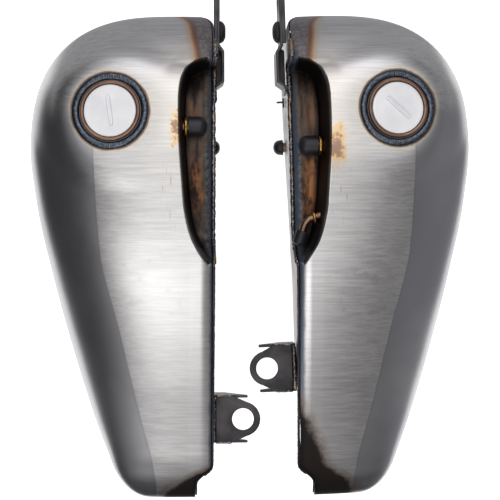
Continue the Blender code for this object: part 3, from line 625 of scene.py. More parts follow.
class SteelShader(Shader):
    """Shader of one half's pressings, with the noises and stored distances that its marks share."""

    def __init__(self, side):
        super().__init__(f"raw_steel_{SIDE_NAMES[side]}")
        self.side = side
        self.wide = self.noise(9, detail=4)
        self.fine = self.noise(60, detail=5, roughness=0.65)
        self.speck = self.noise(210, detail=4, roughness=0.7)
        self.brush = self.noise(420, stretch=(0.035, 1, 0.6), detail=4, roughness=0.75)
        self.rim, self.seam, self.filler = self.mask("rim"), self.mask("seam"), self.mask("filler")
        self.sanded, self.along, self.upper = self.mask("sanded"), self.mask("along"), self.mask("upper")
        self.wander = self.times(self.plus(self.fine, -0.5), 14.0)
        self.grain = self.plus(self.speck, -0.5)

    def uneven(self, value, amount):
        """The value shifted by a wandering noise, so that edges taken from it aren't clean lines."""
        return self.plus(value, self.times(self.wander, amount))


def plain_steel(s, on_top):
    """Sanded across on top, smooth and slightly darker below the sanding's edge."""
    swept_lines = s.noise(85, stretch=(0.05, 1, 0.4), detail=3, roughness=0.6)
    colour = s.blend(s.above(s.brush, 0.34, 0.66), (0.47, 0.46, 0.455), STEEL)
    colour = s.tint(colour, (0.44, 0.43, 0.44), s.above(swept_lines, 0.5, 0.72), 0.30)
    smooth = s.blend(s.above(s.wide, 0.35, 0.7), (0.37, 0.37, 0.39), (0.46, 0.455, 0.465))
    colour = s.blend(on_top, smooth, colour)
    edge_line = s.band(s.uneven(s.sanded, 0.08), 0.2, 1.4, 0.8)
    colour = s.tint(colour, (0.30, 0.30, 0.32), edge_line, s.above(s.along, 140, 118), 0.35)
    inner_band = s.times(s.band(s.uneven(s.seam, 0.3), -5, 24, 3), s.above(s.along, 8, -18))
    return s.tint(colour, (0.70, 0.69, 0.685), inner_band, INNER_BAND[s.side])


def handling_marks(s, colour):
    """Upright scuffs beside the recess and a mottled patch behind it."""
    scuffs = s.noise(150, stretch=(2.6, 0.30, 1), detail=3, roughness=0.6, offset=(3 * s.side, 0, 0))
    beside = s.times(s.band(s.rim, -20, -3, 5), s.band(s.along, 28, 76, 14))
    colour = s.tint(colour, (0.20, 0.20, 0.22), beside, s.above(scuffs, 0.60, 0.70), 0.6)
    mottle = s.times(s.band(s.along, -60, -8, 20), s.band(s.seam, 40, 88, 18))
    return s.tint(colour, (0.30, 0.29, 0.30), mottle, s.above(s.fine, 0.56, 0.66), 0.28)


def filler_heat(s, colour):
    """Straw glow between the recess and the nose, and rings of heat tint round the filler weld."""
    drift = s.times(s.plus(s.wide, -0.5), 22.0)
    glow = s.times(s.above(s.plus(s.rim, drift), -50, -2), s.above(s.along, 20, 150))
    colour = s.tint(colour, (0.72, 0.62, 0.48), glow, 0.22)
    ring = s.uneven(s.filler, 0.22)
    colour = s.tint(colour, STRAW, s.band(ring, 36, 40.6, 1.6), 0.35)
    colour = s.tint(colour, BROWN, s.band(ring, 30, 39.2, 0.9), 0.8)
    return s.blend(s.band(ring, 20, 38.2, 0.9), colour, (0.09, 0.095, 0.11))


def vent_flecks(s, colour):
    """Burnt flecks on the recess's lip beside the vent stub."""
    half_u, half_y, ragged = FLECKS[s.side]
    lip_u = float(rim_u(VENT_Y[s.side])) + RECESS_LIP
    centre = (lip_u + 0.4 * half_u, VENT_Y[s.side] - 4, VENT_Z + 40)
    patch = s.distance(s.side, centre, (half_u, half_y, 60))
    patch = s.plus(patch, s.plus(s.times(s.grain, ragged), s.times(s.plus(s.fine, -0.5), 2.0)))
    colour = s.tint(colour, (0.66, 0.42, 0.17), s.above(patch, 1.15, 0.75), 0.75)
    return s.tint(colour, (0.26, 0.16, 0.13), s.above(patch, 0.75, 0.3), 0.85)


def corner_heat(s, colour):
    """Heated corner ahead of the recess: grey at the seam, then purple-brown, then a thin straw fringe."""
    corner = s.plus(s.seam, s.plus(s.times(s.plus(s.along, -190), -0.17), s.times(s.wander, 0.16)))
    corner = s.plus(corner, -CORNER_REACH[s.side])
    ahead = s.above(s.uneven(s.along, 0.3), 172, 186)
    colour = s.tint(colour, (0.50, 0.34, 0.20), s.above(corner, 9, 1), ahead, 0.55)
    colour = s.tint(colour, (0.46, 0.22, 0.08), s.above(corner, 2.6, -0.4), ahead, 0.85)
    colour = s.tint(colour, (0.17, 0.10, 0.09), s.above(corner, 0.6, -3.0), ahead, 0.9)
    mill = s.blend(s.above(s.speck, 0.38, 0.62), (0.15, 0.14, 0.15), (0.27, 0.25, 0.25))
    return s.tint(colour, mill, s.above(corner, -3.5, -8), ahead, 0.9)


def recess_scale_and_painted_shade(s):
    """Scale in the recess with painted shade: near-black down its wall stands for the shade there, streaks of
    orange at the foot, grey next to the seam.
    """
    foot = s.times(s.above(s.uneven(s.rim, 0.5), 4, 13), s.above(s.uneven(s.rim, 0.6), 25, 12))
    blotches = s.noise(38, stretch=(1, 0.55, 1), detail=3, roughness=0.6)
    foot = s.times(foot, s.above(blotches, 0.34, 0.62))
    warm = s.plus(s.band(s.along, 40, 88, 12), s.times(s.band(s.along, 132, 170, 12), 0.28))
    streaks = s.noise(110, stretch=(1, 0.22, 1), detail=4, roughness=0.6)
    orange = s.times(s.times(foot, warm), s.above(s.plus(streaks, s.times(s.grain, 0.3)), 0.34, 0.62))
    scale = s.blend(s.above(streaks, 0.36, 0.68), (0.030, 0.024, 0.023), (0.120, 0.085, 0.068))
    scale = s.tint(scale, (0.42, 0.17, 0.055), orange, 0.9)
    strip_colour = s.blend(s.above(s.speck, 0.4, 0.62), (0.10, 0.104, 0.108), (0.23, 0.248, 0.254))
    brown_part = s.times(s.above(s.uneven(s.along, 1.5), 92, 128), s.above(streaks, 0.30, 0.60))
    strip_colour = s.tint(strip_colour, (0.20, 0.145, 0.115), brown_part, 0.75)
    scale = s.tint(scale, strip_colour, s.above(s.uneven(s.seam, 0.22), 11, 7.5), 0.85)
    scale = s.tint(scale, (0.03, 0.03, 0.035), s.above(s.seam, 3.4, 2.2), 0.9)
    # painted shade: the recess's steep wall goes near-black from the rim inwards
    return s.blend(s.above(s.rim, 2.5, 12), (0.012, 0.010, 0.010), scale)


def past_soot(s):
    """Distance past the soot at the tail's inner corner, which widens rearwards and fades downwards."""
    start, spread = SOOT_WEDGE[s.side]
    soot = s.plus(s.seam, s.times(s.plus(s.along, -start), spread))
    soot = s.plus(soot, s.plus(s.times(s.wander, 1.1), s.times(s.grain, 6.0)))
    return s.plus(soot, s.times(s.above(s.uneven(s.upper, 1.2), *SOOT_FADE_Z), 40))


def steel_look(side):
    """Sanded, heat-tinted raw steel of one half's pressings."""
    s = SteelShader(side)
    on_top = s.above(s.uneven(s.sanded, 0.08), 0.5, -0.5)
    on_top = s.math("MAXIMUM", on_top, s.above(s.along, 122, 150))
    colour = handling_marks(s, plain_steel(s, on_top))
    colour = corner_heat(s, vent_flecks(s, filler_heat(s, colour)))
    # painted shade: the steel ahead of the recess's front lip is darkened, and roughened, to dull the
    # highlight it catches
    lip_front_painted_shade = s.times(s.band(s.rim, -13, 1, 9), s.above(s.along, 168, 184))
    colour = s.tint(colour, (0.27, 0.24, 0.22), lip_front_painted_shade, 0.12)
    sunk = s.above(s.uneven(s.rim, 0.05), -2.2, 0.4)
    colour = s.blend(sunk, colour, recess_scale_and_painted_shade(s))
    blued = s.times(s.above(s.uneven(s.seam, 0.25), *BLUED_WIDTH[side]), s.above(s.along, 205, 195))
    colour = s.tint(colour, BLUE, blued, 0.85)
    soot = past_soot(s)
    colour = s.tint(colour, (0.34, 0.25, 0.19), s.above(soot, 9, 1), 0.5)
    colour = s.tint(colour, SOOT, s.above(soot, 4, -10), 0.95)

    dirty = s.math("MAXIMUM", sunk, s.times(s.above(soot, 4, -8), 1.6))
    base = s.plus(s.times(s.plus(s.brush, -0.5), 0.16), 0.33)
    base = s.plus(base, s.times(on_top, 0.04))
    roughness = s.plus(s.plus(base, s.times(dirty, 0.18)), s.times(lip_front_painted_shade, 0.22))
    scratch = s.noise(900, stretch=(0.03, 1, 0.4), detail=2, roughness=0.6)
    height = s.plus(s.times(scratch, 0.5), s.times(s.brush, 0.5))
    height = s.times(height, s.plus(s.times(on_top, 0.85), 0.15))
    return s.finish(colour=colour, roughness=roughness, metallic=1.0, normal=s.bump(height, 0.12, 0.0002))


def wall_look(side):
    """Raw steel of the tunnel wall: blued under the seam, scuffed below."""
    s = Shader(f"tunnel_steel_{SIDE_NAMES[side]}")
    fine = s.noise(55, detail=5, roughness=0.65)
    wide = s.noise(12, detail=3)
    brush = s.noise(240, stretch=(1, 0.1, 1), detail=3)
    depth = s.plus(s.mask("depth"), s.times(s.plus(fine, -0.5), 8.0))
    colour = s.blend(s.above(wide, 0.35, 0.65), (0.22, 0.205, 0.215), (0.33, 0.315, 0.32))
    colour = s.tint(colour, (0.14, 0.125, 0.13), s.above(fine, 0.55, 0.8), 0.5)
    colour = s.tint(colour, (0.20, 0.15, 0.12), s.above(depth, 16, 6), 0.75)
    colour = s.tint(colour, (0.10, 0.12, 0.15), s.above(depth, 9, 3), 0.85)
    roughness = s.plus(s.times(brush, 0.2), 0.28)
    return s.finish(colour=colour, roughness=roughness, metallic=1.0, normal=s.bump(brush, 0.1, 0.0003))


def weld_look(name, dark, light, tint, grit=0.5):
    """Ripples of a weld: dark oxide with glints and traces of heat colour."""
    s = Shader(name)
    fine = s.noise(420, detail=4, roughness=0.7)
    wide = s.noise(70, detail=3)
    colour = s.blend(s.above(fine, 0.42, 0.66), dark, light)
    colour = s.tint(colour, tint, s.above(wide, 0.54, 0.72), 0.6)
    roughness = s.plus(s.times(fine, 0.35), 0.16)
    return s.finish(colour=colour, roughness=roughness, metallic=1.0, normal=s.bump(fine, grit, 0.0003))


def neck_look():
    """Bronze-brown heat colour of the machined filler neck."""
    s = Shader("neck_bronze")
    wide = s.noise(30, detail=3)
    fine = s.noise(300, detail=4, roughness=0.7)
    colour = s.blend(s.above(wide, 0.35, 0.65), (0.17, 0.095, 0.065), (0.30, 0.18, 0.12))
    colour = s.tint(colour, (0.10, 0.055, 0.04), s.above(fine, 0.52, 0.72), 0.6)
    return s.finish(colour=colour, roughness=s.plus(s.times(fine, 0.3), 0.22), metallic=1.0,
                    normal=s.bump(fine, 0.15, 0.0002))


def bracket_look():
    """Dark mill scale with blue and brown heat colours."""
    s = Shader("bracket_scale")
    wide = s.noise(38, detail=3)
    fine = s.noise(240, detail=5, roughness=0.7)
    colour = s.blend(s.above(wide, 0.35, 0.65), (0.036, 0.034, 0.037), (0.072, 0.067, 0.070))
    colour = s.tint(colour, (0.19, 0.14, 0.11), s.above(fine, 0.6, 0.78), 0.4)
    return s.finish(colour=colour, roughness=s.plus(s.times(fine, 0.3), 0.28), metallic=0.9,
                    normal=s.bump(fine, 0.25, 0.0003))


def braze_look():
    s = Shader("brazing_gold")
    fine = s.noise(260, detail=4, roughness=0.7)
    wide = s.noise(90, detail=2)
    colour = s.blend(s.above(fine, 0.35, 0.6), (0.30, 0.13, 0.03), (0.85, 0.50, 0.13))
    colour = s.tint(colour, (0.10, 0.05, 0.03), s.above(wide, 0.55, 0.72), 0.7)
    return s.finish(colour=colour, roughness=s.plus(s.times(fine, 0.3), 0.18), metallic=1.0,
                    normal=s.bump(fine, 0.5, 0.0004))


def plug_look():
    """Satin white moulded plastic, a touch translucent."""
    s = Shader("white_moulded")
    wide = s.noise(40, detail=3)
    fine = s.noise(900, detail=2)
    colour = s.blend(s.above(wide, 0.3, 0.7), (0.74, 0.745, 0.77), (0.82, 0.82, 0.835))
    material = s.finish(colour=colour, roughness=s.plus(s.times(fine, 0.12), 0.34), subsurface=0.25,
                        normal=s.bump(s.plus(wide, s.times(fine, 0.15)), 0.12, 0.0008))
    s.surface.inputs["Subsurface Radius"].default_value = (0.004, 0.004, 0.004)
    return material


def vinyl_look():
    s = Shader("vinyl_black")
    fine = s.noise(500, detail=3, roughness=0.6)
    wide = s.noise(60, detail=2)
    colour = s.blend(s.above(wide, 0.3, 0.7), (0.010, 0.010, 0.013), (0.020, 0.020, 0.026))
    return s.finish(colour=colour, roughness=s.plus(s.times(fine, 0.16), 0.30), specular=0.32,
                    normal=s.bump(fine, 0.08, 0.0003))


def rubber_look():
    s = Shader("rubber_black")
    fine = s.noise(700, detail=4, roughness=0.7)
    wide = s.noise(50, detail=2)
    colour = s.blend(s.above(wide, 0.3, 0.7), (0.012, 0.012, 0.014), (0.022, 0.021, 0.023))
    return s.finish(colour=colour, roughness=s.plus(s.times(fine, 0.2), 0.45),
                    normal=s.bump(fine, 0.3, 0.0002))


LOOKS = {
    "weld": weld_look("weld_grey", (0.075, 0.068, 0.066), (0.34, 0.33, 0.32), (0.42, 0.27, 0.13)),
    "filler_weld": weld_look("weld_blue", (0.060, 0.070, 0.088), (0.15, 0.17, 0.20), (0.12, 0.15, 0.20), 0.2),
    "neck": neck_look(),
    "bracket": bracket_look(),
    "braze": braze_look(),
    "plug": plug_look(),
    "vinyl": vinyl_look(),
    "rubber": rubber_look(),
}
STEEL_LOOKS = {side: steel_look(side) for side in SIDE_NAMES}
WALL_LOOKS = {side: wall_look(side) for side in SIDE_NAMES}


# ---------------------------------------------------------------- pressings

def rows_along():
    """Section places along the length, closer together at both ends and at the recess's ends."""
    start, end = TAIL_Y + END_ROW, NOSE_Y - END_ROW
    spread = [np.linspace(start, end, 190), np.linspace(158, 198, 44), np.linspace(-30, 10, 34)]
    ends = np.linspace(0, 1, 14) ** 2
    spread += [start + 14 * ends, end - 14 * ends]
    return np.unique(np.round(np.concatenate(spread), 2))


def smooth_guide(y):
    """Where the sections gather their points: the recess's rim, eased over a few millimetres of length."""
    nearby = np.linspace(-9, 9, 19)
    weights = np.cos(nearby * math.pi / 20) ** 2
    return float(np.dot(np.maximum(rim_u(y + nearby), 52.0), weights) / weights.sum())


ROWS = rows_along()
FLOOR_STEPS = np.linspace(0, 1, 9)
WALL_STEPS = np.linspace(0, 1, 15)[1:]
TOP_STEPS, UNDER_STEPS = 44, 22
MARKS_BELOW_WIDEST, FAR = 25.0, 200.0


def section_row(y):
    """One cross-section, from the top seam over the outside to the bottom seam, as (u, y, z)."""
    first = float(seam_u(y)) + SEAM_EDGE
    foot = float(foot_u(y)) + SEAM_EDGE
    widest_u, widest_z = float(outer_u(y)), float(smooth_curve(WIDEST_Z, y))
    guide = smooth_guide(y)
    toe = max(guide - RECESS_WALL, first + 3)
    lip = max(guide + RECESS_LIP + 1, toe + 9)
    power = float(smooth_curve(TOP_POWER, y))
    start = math.asin(((lip - first) / (widest_u - first)) ** (power / 2))
    angles = start + (math.pi / 2 - start) * np.arange(1, TOP_STEPS) / TOP_STEPS
    across = first + (widest_u - first) * np.sin(angles) ** (2 / power)
    us = np.concatenate([first + (toe - first) * FLOOR_STEPS, toe + (lip - toe) * WALL_STEPS, across])
    upper = np.column_stack([us, np.full(len(us), y), top_z(us, y)])
    low, flat = float(floor_z(y)), foot + FLOOR_SHARE * (widest_u - foot)
    angles = math.pi / 2 * np.arange(0, UNDER_STEPS + 1) / UNDER_STEPS
    cos, sin = np.clip(np.cos(angles), 0, 1), np.sin(angles)
    us = flat + (widest_u - flat) * cos ** (2 / FLOOR_POWER)
    zs = widest_z - (widest_z - low) * sin ** (2 / FLOOR_POWER)
    under = np.column_stack([us, np.full(len(us), y), zs])
    return np.concatenate([upper, under, [(foot, y, low)]])


def mark_shell(piece, side):
    """Stores what the steel's colours depend on: distances in millimetres from the shell's own features."""
    mesh = piece.data
    co = np.zeros(len(mesh.vertices) * 3)
    mesh.vertices.foreach_get("co", co)
    co = co.reshape(-1, 3) / MM
    u, y, z = (turned_about(co, -RIGHT_TURN) if side == RIGHT else co * (LEFT, 1, 1)).T
    is_up = z > smooth_curve(WIDEST_Z, y) - MARKS_BELOW_WIDEST
    marks = {
        "rim": np.where(is_up, inside_rim(u, y), -FAR),
        "seam": np.where(is_up, u - seam_u(y), FAR),
        "filler": np.where(is_up, np.hypot(u - FILLER_U, y - FILLER_Y), FAR),
        "sanded": u - smooth_curve(SANDED_EDGE, y),
        "upper": z,
        "along": y,
    }
    for name, values in marks.items():
        layer = mesh.attributes.new(name, "FLOAT", "POINT")
        layer.data.foreach_set("value", values.astype(np.float32))


def outer_shell(side):
    name = SIDE_NAMES[side]
    sections = [section_row(y) for y in ROWS]
    points = np.concatenate(sections)
    rows, columns = len(ROWS), len(sections[0])
    faces = grid_faces(rows, columns)
    faces += [tuple(reversed(range(columns))), tuple(range((rows - 1) * columns, rows * columns))]
    shell = make_piece(f"{name}_shell", points, faces, side, STEEL_LOOKS[side], smooth_angle=0)
    thicken(shell)
    bake_modifiers(shell)
    cut(shell, cutter(side, filler_frame(), NECK_R + GAP, -30, 20))
    mark_shell(shell, side)
    shell.data.shade_smooth()
    shell.data.set_sharp_from_angle(angle=math.radians(50))
    show(shell, f"{name}_tank", "raw_steel", f"{name}_outer_shell", f"{name}_bottom_pan")


def tunnel_wall(side):
    name = SIDE_NAMES[side]
    heights = np.linspace(0, 1, 60)
    inner_rows = ROWS[(ROWS > TAIL_Y + 5) & (ROWS < NOSE_Y - 2)]
    ys = np.concatenate([[TAIL_Y + END_ROW + 3.5], inner_rows, [NOSE_Y - END_ROW - 1]])
    points, depths = [], []
    for y in ys:
        low, high = float(floor_z(y)), float(top_z(seam_u(y) + SEAM_EDGE, y))
        zs = low + (high - low) * heights
        us = foot_u(y) + (seam_u(y) - foot_u(y)) * heights - pad_rise(y, zs)
        points.append(np.column_stack([us, np.full(len(zs), y), zs]))
        depths.append(high - zs)
    faces = grid_faces(len(ys), len(heights))
    masks = {"depth": np.concatenate(depths)}
    wall = make_piece(f"{name}_wall", np.concatenate(points), faces, side, WALL_LOOKS[side], 0, masks)
    thicken(wall)
    show(wall, f"{name}_tank", "raw_steel", f"{name}_tunnel_wall")


def seam_route(start, end, rise, inward):
    ys = np.linspace(start, end, max(int(abs(end - start) / 4), 4))
    return [(float(seam_u(y)) - inward, float(y), float(top_z(seam_u(y) + SEAM_EDGE, y)) + rise) for y in ys]


def seam_weld(side):
    """Rough bead round the front of the recess, a thinner one behind it, and a dressed line to the tail."""
    name = f"{SIDE_NAMES[side]}_seam"
    inward, radius = {LEFT: (0.9, 2.7), RIGHT: (-1.0, 2.9)}[side]
    thick = bead(seam_route(150, 213, 0.2, inward), radius, side, f"{name}_bead_front", LOOKS["weld"],
                 seed=side * 3.0)
    thin = bead(seam_route(-14, 157, 0.3, 0.1), 2.1, side, f"{name}_bead_recess", LOOKS["weld"],
                seed=side * 5.0)
    tail = bead(seam_route(-240, -14, 0.0, -0.3), 1.4, side, f"{name}_bead_tail", LOOKS["bracket"],
                ripple=0.05, rough=0.12, seed=side * 7.0)
    for piece in (thick, thin, tail):
        show(piece, f"{SIDE_NAMES[side]}_tank", "weld_bead")
    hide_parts(f"{name}_weld")


# ---------------------------------------------------------------- filler

def ring_bead(frame, inner, outer, side, name, look, height, pitch, seed):
    """Weld round a neck: a low crown with crescent ripples that lean the way the torch went."""
    around, across = 420, 14
    points = []
    for i in range(around):
        angle = 2 * math.pi * i / around
        out = Vector((math.cos(angle), math.sin(angle), 0))
        run = angle * (inner + outer) / 2
        wobble = 0.35 * noise.noise(out * 2.2 + Vector((seed, 0, 0)))
        for j in range(across + 1):
            t = j / across
            lean = run / pitch + 0.5 * (2 * t - 1) ** 2 + 0.3 * noise.noise(out * 3 + Vector((0, seed, t)))
            saw = lean % 1
            crest = max(1 - abs(2 * t - 1) ** 2.6, 0)
            rise = height * crest * (1 + 0.22 * (saw - 0.5))
            rise += 0.10 * noise.noise(out * 9 + Vector((t * 3, seed, 1)))
            radius = inner + (outer + wobble - inner) * t
            points.append(frame @ (out * radius + Vector((0, 0, 0.15 + rise * (1 if 0 < j < across else 0)))))
        points.append(frame @ (out * inner))
    faces = grid_faces(around, across + 2, closed=True, looped=True)
    return make_piece(name, points, faces, side, look, smooth_angle=0)


def filler(side):
    name, base = SIDE_NAMES[side], filler_frame()
    tank = f"{name}_tank"
    neck = ((NECK_TUBE_R, NECK_BOTTOM), (NECK_TUBE_R, NECK_STEP), (NECK_R, NECK_STEP), (NECK_R, NECK_TOP),
            (NECK_SEAT_R, NECK_TOP), (NECK_SEAT_R, NECK_SEAT), (NECK_BORE_R, NECK_SEAT),
            (NECK_BORE_R, NECK_BOTTOM))
    neck = make_piece(f"{name}_neck", *turned(rounded(neck, 0.8), base, 128), side, LOOKS["neck"])
    show(neck, tank, "weld_bead", f"{name}_filler_neck")
    weld = ring_bead(base, NECK_R + GAP + 0.9, WELD_OUTER_R, side, f"{name}_neck_bead", LOOKS["filler_weld"],
                     2.0, 2.3, 4.0 + side)
    show(weld, tank, "weld_bead", f"{name}_filler_weld")
    gasket = ((NECK_BORE_R + GAP, NECK_SEAT + GAP), (NECK_SEAT_R - GAP, NECK_SEAT + GAP),
              (NECK_SEAT_R - GAP, PLUG_HEAD_BASE - GAP), (NECK_BORE_R + GAP, PLUG_HEAD_BASE - GAP))
    gasket = make_piece(f"{name}_gasket", *turned(rounded(gasket, 0.4), base), side, LOOKS["rubber"])
    show(gasket, f"{name}_gasket", "black_rubber", f"{name}_filler_gasket")
    plug = plug_piece(side, base)
    show(plug, f"{name}_plug", "white_plastic", f"{name}_filler_plug")
    grip_bar(side, base)


def plug_piece(side, base):
    """Screw plug: dished head with a soft edge, threaded barrel below."""
    head, edge, root, soft = PLUG_HEAD_TOP, PLUG_HEAD_R, PLUG_BARREL_R - 1, 1.5
    outline = [(0, -4), (root - 2, -4), (root - 2, PLUG_BARREL_END), (root, PLUG_BARREL_END)]
    for i in range(PLUG_THREADS):
        z = PLUG_BARREL_END + 1 + i * PLUG_PITCH
        outline += [(root, z), (PLUG_BARREL_R - 0.1, z + PLUG_PITCH / 2)]
    outline += [(root, PLUG_HEAD_BASE), (edge, PLUG_HEAD_BASE), (edge, head - soft)]
    outline += [(edge - soft + soft * math.cos(a), head - soft + soft * math.sin(a))
                for a in np.linspace(0.2, 1.5, 6)]
    outline += [(edge - 3.2, head + 0.12), (edge - 5.0, head - 0.05)]
    outline += [(r, head - 0.05 + 0.35 * (1 - (r / (edge - 5)) ** 2)) for r in np.linspace(edge - 6, 0, 14)]
    points, faces = turned(outline, base, 128, closed=False)
    return make_piece(f"{SIDE_NAMES[side]}_plug", points, faces, side, LOOKS["plug"], smooth_angle=35)


def grip_bar(side, base):
    """Bar across the plug's head, with rounded ends and a top that closes in."""
    name, rows, ring = SIDE_NAMES[side], 24, 24
    along = base.to_3x3().inverted() @ Vector((*GRIP_WAY[side], 0))
    along = Vector((along.x, along.y, 0)).normalized()
    across = Vector((-along.y, along.x, 0))
    points = []
    for i in range(rows + 1):
        t = i / rows
        spread = 1 - t**4
        height = Vector((0, 0, PLUG_HEAD_TOP - 0.4 + GRIP_HIGH * math.sin(t * math.pi / 2)))
        for j in range(ring):
            angle = 2 * math.pi * j / ring
            c, s = math.cos(angle), math.sin(angle)
            length = GRIP_LONG * (abs(c) ** 0.35) * math.copysign(1, c) + 2.1 * c
            width = GRIP_WIDE * (abs(s) ** 0.7) * math.copysign(1, s)
            place = along * length * (0.93 + 0.07 * spread) + across * width * spread**0.5
            points.append(base @ (place + height))
    faces = grid_faces(rows + 1, ring, closed=True)
    faces.append(tuple(range(rows * ring, (rows + 1) * ring)))
    bar = make_piece(f"{name}_plug_grip", points, faces, side, LOOKS["plug"], smooth_angle=60)
    show(bar, f"{name}_plug", "white_plastic")


# ---------------------------------------------------------------- stubs and caps

def cap_profile(radius, bore_radius, length, depth, dome):
    """Blind vinyl cap: rolled edge at height 0, domed at its far end."""
    profile = [(0, depth), (bore_radius, depth), (bore_radius, 0.3), (bore_radius + 0.3, 0)]
    body = radius - 0.3
    profile += [(radius - 0.7, 0), (radius - 0.1, 0.4), (radius, 1.1), (radius - 0.25, 2.2), (body, 3.0)]
    for a in np.linspace(0, math.pi / 2, 15):
        profile.append((body * math.cos(a) ** 0.9 if a < 1.57 else 0, length - dome + dome * math.sin(a)))
    return profile


def tube_and_cap(side, name, start, axis, tube_end, cap_start, cap_end, radii):
    tube_r, bore_r, cap_r = radii
    base = axis_frame(start, axis)
    body = f"{SIDE_NAMES[side]}_tank"
    tube = ((tube_r, 0), (tube_r, tube_end), (bore_r, tube_end), (bore_r, 0))
    kind = "nipple" if "crossover" in name else "tube"
    tube = make_piece(f"{name}_{kind}_fine", *turned(rounded(tube, 0.5), base, 64), side, LOOKS["neck"])
    show(tube, body, "raw_steel", f"{name}_{kind}")
    origin = base @ Vector((0, 0, cap_start))
    profile = cap_profile(cap_r, tube_r + GAP, cap_end - cap_start, tube_end - cap_start + 1.0, cap_r * 0.85)
    points, faces = turned(profile, axis_frame(origin, axis), 64, closed=False)
    cap = make_piece(f"{name}_cap_fine", points, faces, side, LOOKS["vinyl"])
    show(cap, f"{name}_cap", "black_vinyl", f"{name}_cap")


def braze_ring(frame_at, radius, side, name, node, at, width, seed):
    """Lumpy golden fillet where a tube leaves the steel."""
    around, across, points = 96, 14, []
    for i in range(around):
        angle = 2 * math.pi * i / around
        out = Vector((math.cos(angle), math.sin(angle), 0))
        size = 1 + 0.35 * noise.noise(out * 1.7 + Vector((seed, 0, 0)))
        for j in range(across):
            t = 2 * math.pi * j / across
            reach = radius + GAP + width * size * (0.5 + 0.5 * math.cos(t))
            rise = at + width * 0.55 * size * math.sin(t) + 0.25 * noise.noise(out * 6 + Vector((t, seed, 0)))
            points.append(frame_at @ (out * reach + Vector((0, 0, rise))))
    faces = grid_faces(around, across, closed=True, looped=True)
    ring = make_piece(name, points, faces, side, LOOKS["braze"], smooth_angle=0)
    show(ring, f"{SIDE_NAMES[side]}_tank", "brazing", node)


def vent(side):
    name = f"{SIDE_NAMES[side]}_vent"
    start = (VENT_INNER_U, VENT_Y[side], VENT_Z)
    tube_and_cap(side, name, start, (-1, 0, 0), VENT_INNER_U - VENT_END_U, VENT_INNER_U - CAP_OPEN_U,
                 VENT_INNER_U - CAP_END_U, (VENT_TUBE_R, VENT_BORE_R, CAP_R))
    braze_ring(axis_frame(start, (-1, 0, 0)), VENT_TUBE_R, side, f"{name}_braze_ring", f"{name}_braze",
               VENT_INNER_U - VENT_RING_U - 0.6, 3.4, 2.0 + side)


def crossover(side):
    start_u = float(wall_u(CROSS_Y, CROSS_Z)) + CROSS_IN_TANK
    radii = (CROSS_TUBE_R, CROSS_BORE_R, CROSS_CAP_R)
    tube_and_cap(side, f"{SIDE_NAMES[side]}_crossover", (start_u, CROSS_Y, CROSS_Z), (-1, 0, 0),
                 start_u - CROSS_END_U, CROSS_CAP_START, start_u - CROSS_CAP_END_U, radii)


def breather():
    route = [Vector(p) for p in BREATHER_ROUTE]
    first, last = route[0] * 2 - route[1], route[-1] * 2 - route[-2]
    points, faces = swept(through([first, *route, last], 8), BREATHER_R, 32)
    tube = make_piece("right_breather_pipe", points, faces, RIGHT, LOOKS["neck"])
    show(tube, "right_tank", "raw_steel", "right_breather_tube")
    braze_ring(axis_frame(route[0], route[1] - route[0]), BREATHER_R, RIGHT, "right_breather_braze_ring",
               "right_breather_braze", 17.0, 2.6, 9.0)
    axis = (route[-1] - route[-2]).normalized()
    profile = cap_profile(BREATHER_CAP_R, BREATHER_R + GAP, BREATHER_CAP_LENGTH, BREATHER_IN_CAP + 1, 3.2)
    cap_frame = axis_frame(route[-1] - axis * BREATHER_IN_CAP, axis)
    cap_points, cap_faces = turned(profile, cap_frame, 64, closed=False)
    cap = make_piece("right_breather_cap_fine", cap_points, cap_faces, RIGHT, LOOKS["vinyl"])
    show(cap, "right_breather_cap", "black_vinyl", "right_breather_cap")


# ---------------------------------------------------------------- brackets

def plate(name, outline, heights, side, edge, nodes=(), holes=(), rake=0.0):
    """Bracket steel between two heights, with holes cut first and its edges softened after.

    Rake moves the lower corners at the channel's free end back by so many millimetres.
    """
    points, faces = prism(outline, *heights)
    points = [(u + (rake if z == heights[0] and u == CHANNEL_END_U else 0), y, z) for u, y, z in points]
    piece = make_piece(name, points, faces, side, LOOKS["bracket"])
    cut(piece, *holes)
    bevel(piece, edge)
    show(piece, f"{SIDE_NAMES[side]}_tank", "bracket_steel", *nodes)


def front_bracket(side):
    """Saddle standing off the tunnel wall, carried forward as the mounting tab with a turned top edge."""
    name = SIDE_NAMES[side]
    wall, thick = float(seam_u(190)) - GAP, TAB_SHEET
    inner = [(wall - thick, 163), (wall - thick, 168), (SADDLE_U, 174), (SADDLE_U, 206), (TAB_U, 213),
             (TAB_U, 264), (TAB_U + 1, 267)]
    outer = [(wall, 163), (wall, 169), (SADDLE_U + thick, 175.5), (SADDLE_U + thick, 204.5),
             (TAB_U + thick, 211.5), (TAB_U + thick, 267)]
    holes = [cutter(side, axis_frame((0, y, BUSH_Z), (1, 0, 0)), radius, TAB_U - 4, TAB_U + 6)
             for y, radius in ((BUSH_Y, BUSH_HOLE_R), (TIP_HOLE_Y, TIP_HOLE_R))]
    outline = outer + inner[::-1]
    plate(f"{name}_tab", outline, (TAB_BOTTOM, TAB_TOP), side, 0.8, (f"{name}_front_bracket",), holes)
    flange = [(TAB_U + thick - 1, 214), (FLANGE_U, 214), (FLANGE_U, 262), (TAB_U + 4, 266.5),
              (TAB_U + thick - 1, 266.5)]
    plate(f"{name}_tab_flange", flange, (TAB_TOP - thick, TAB_TOP), side, 1.0)
    web = [(wall - 1, 166), (wall - 1, 209), (TAB_U + 1, 212), (SADDLE_U + 1, 205.5), (SADDLE_U + 1, 174.5)]
    plate(f"{name}_saddle_web", web, (WEB_TOP - thick, WEB_TOP), side, 0.8)


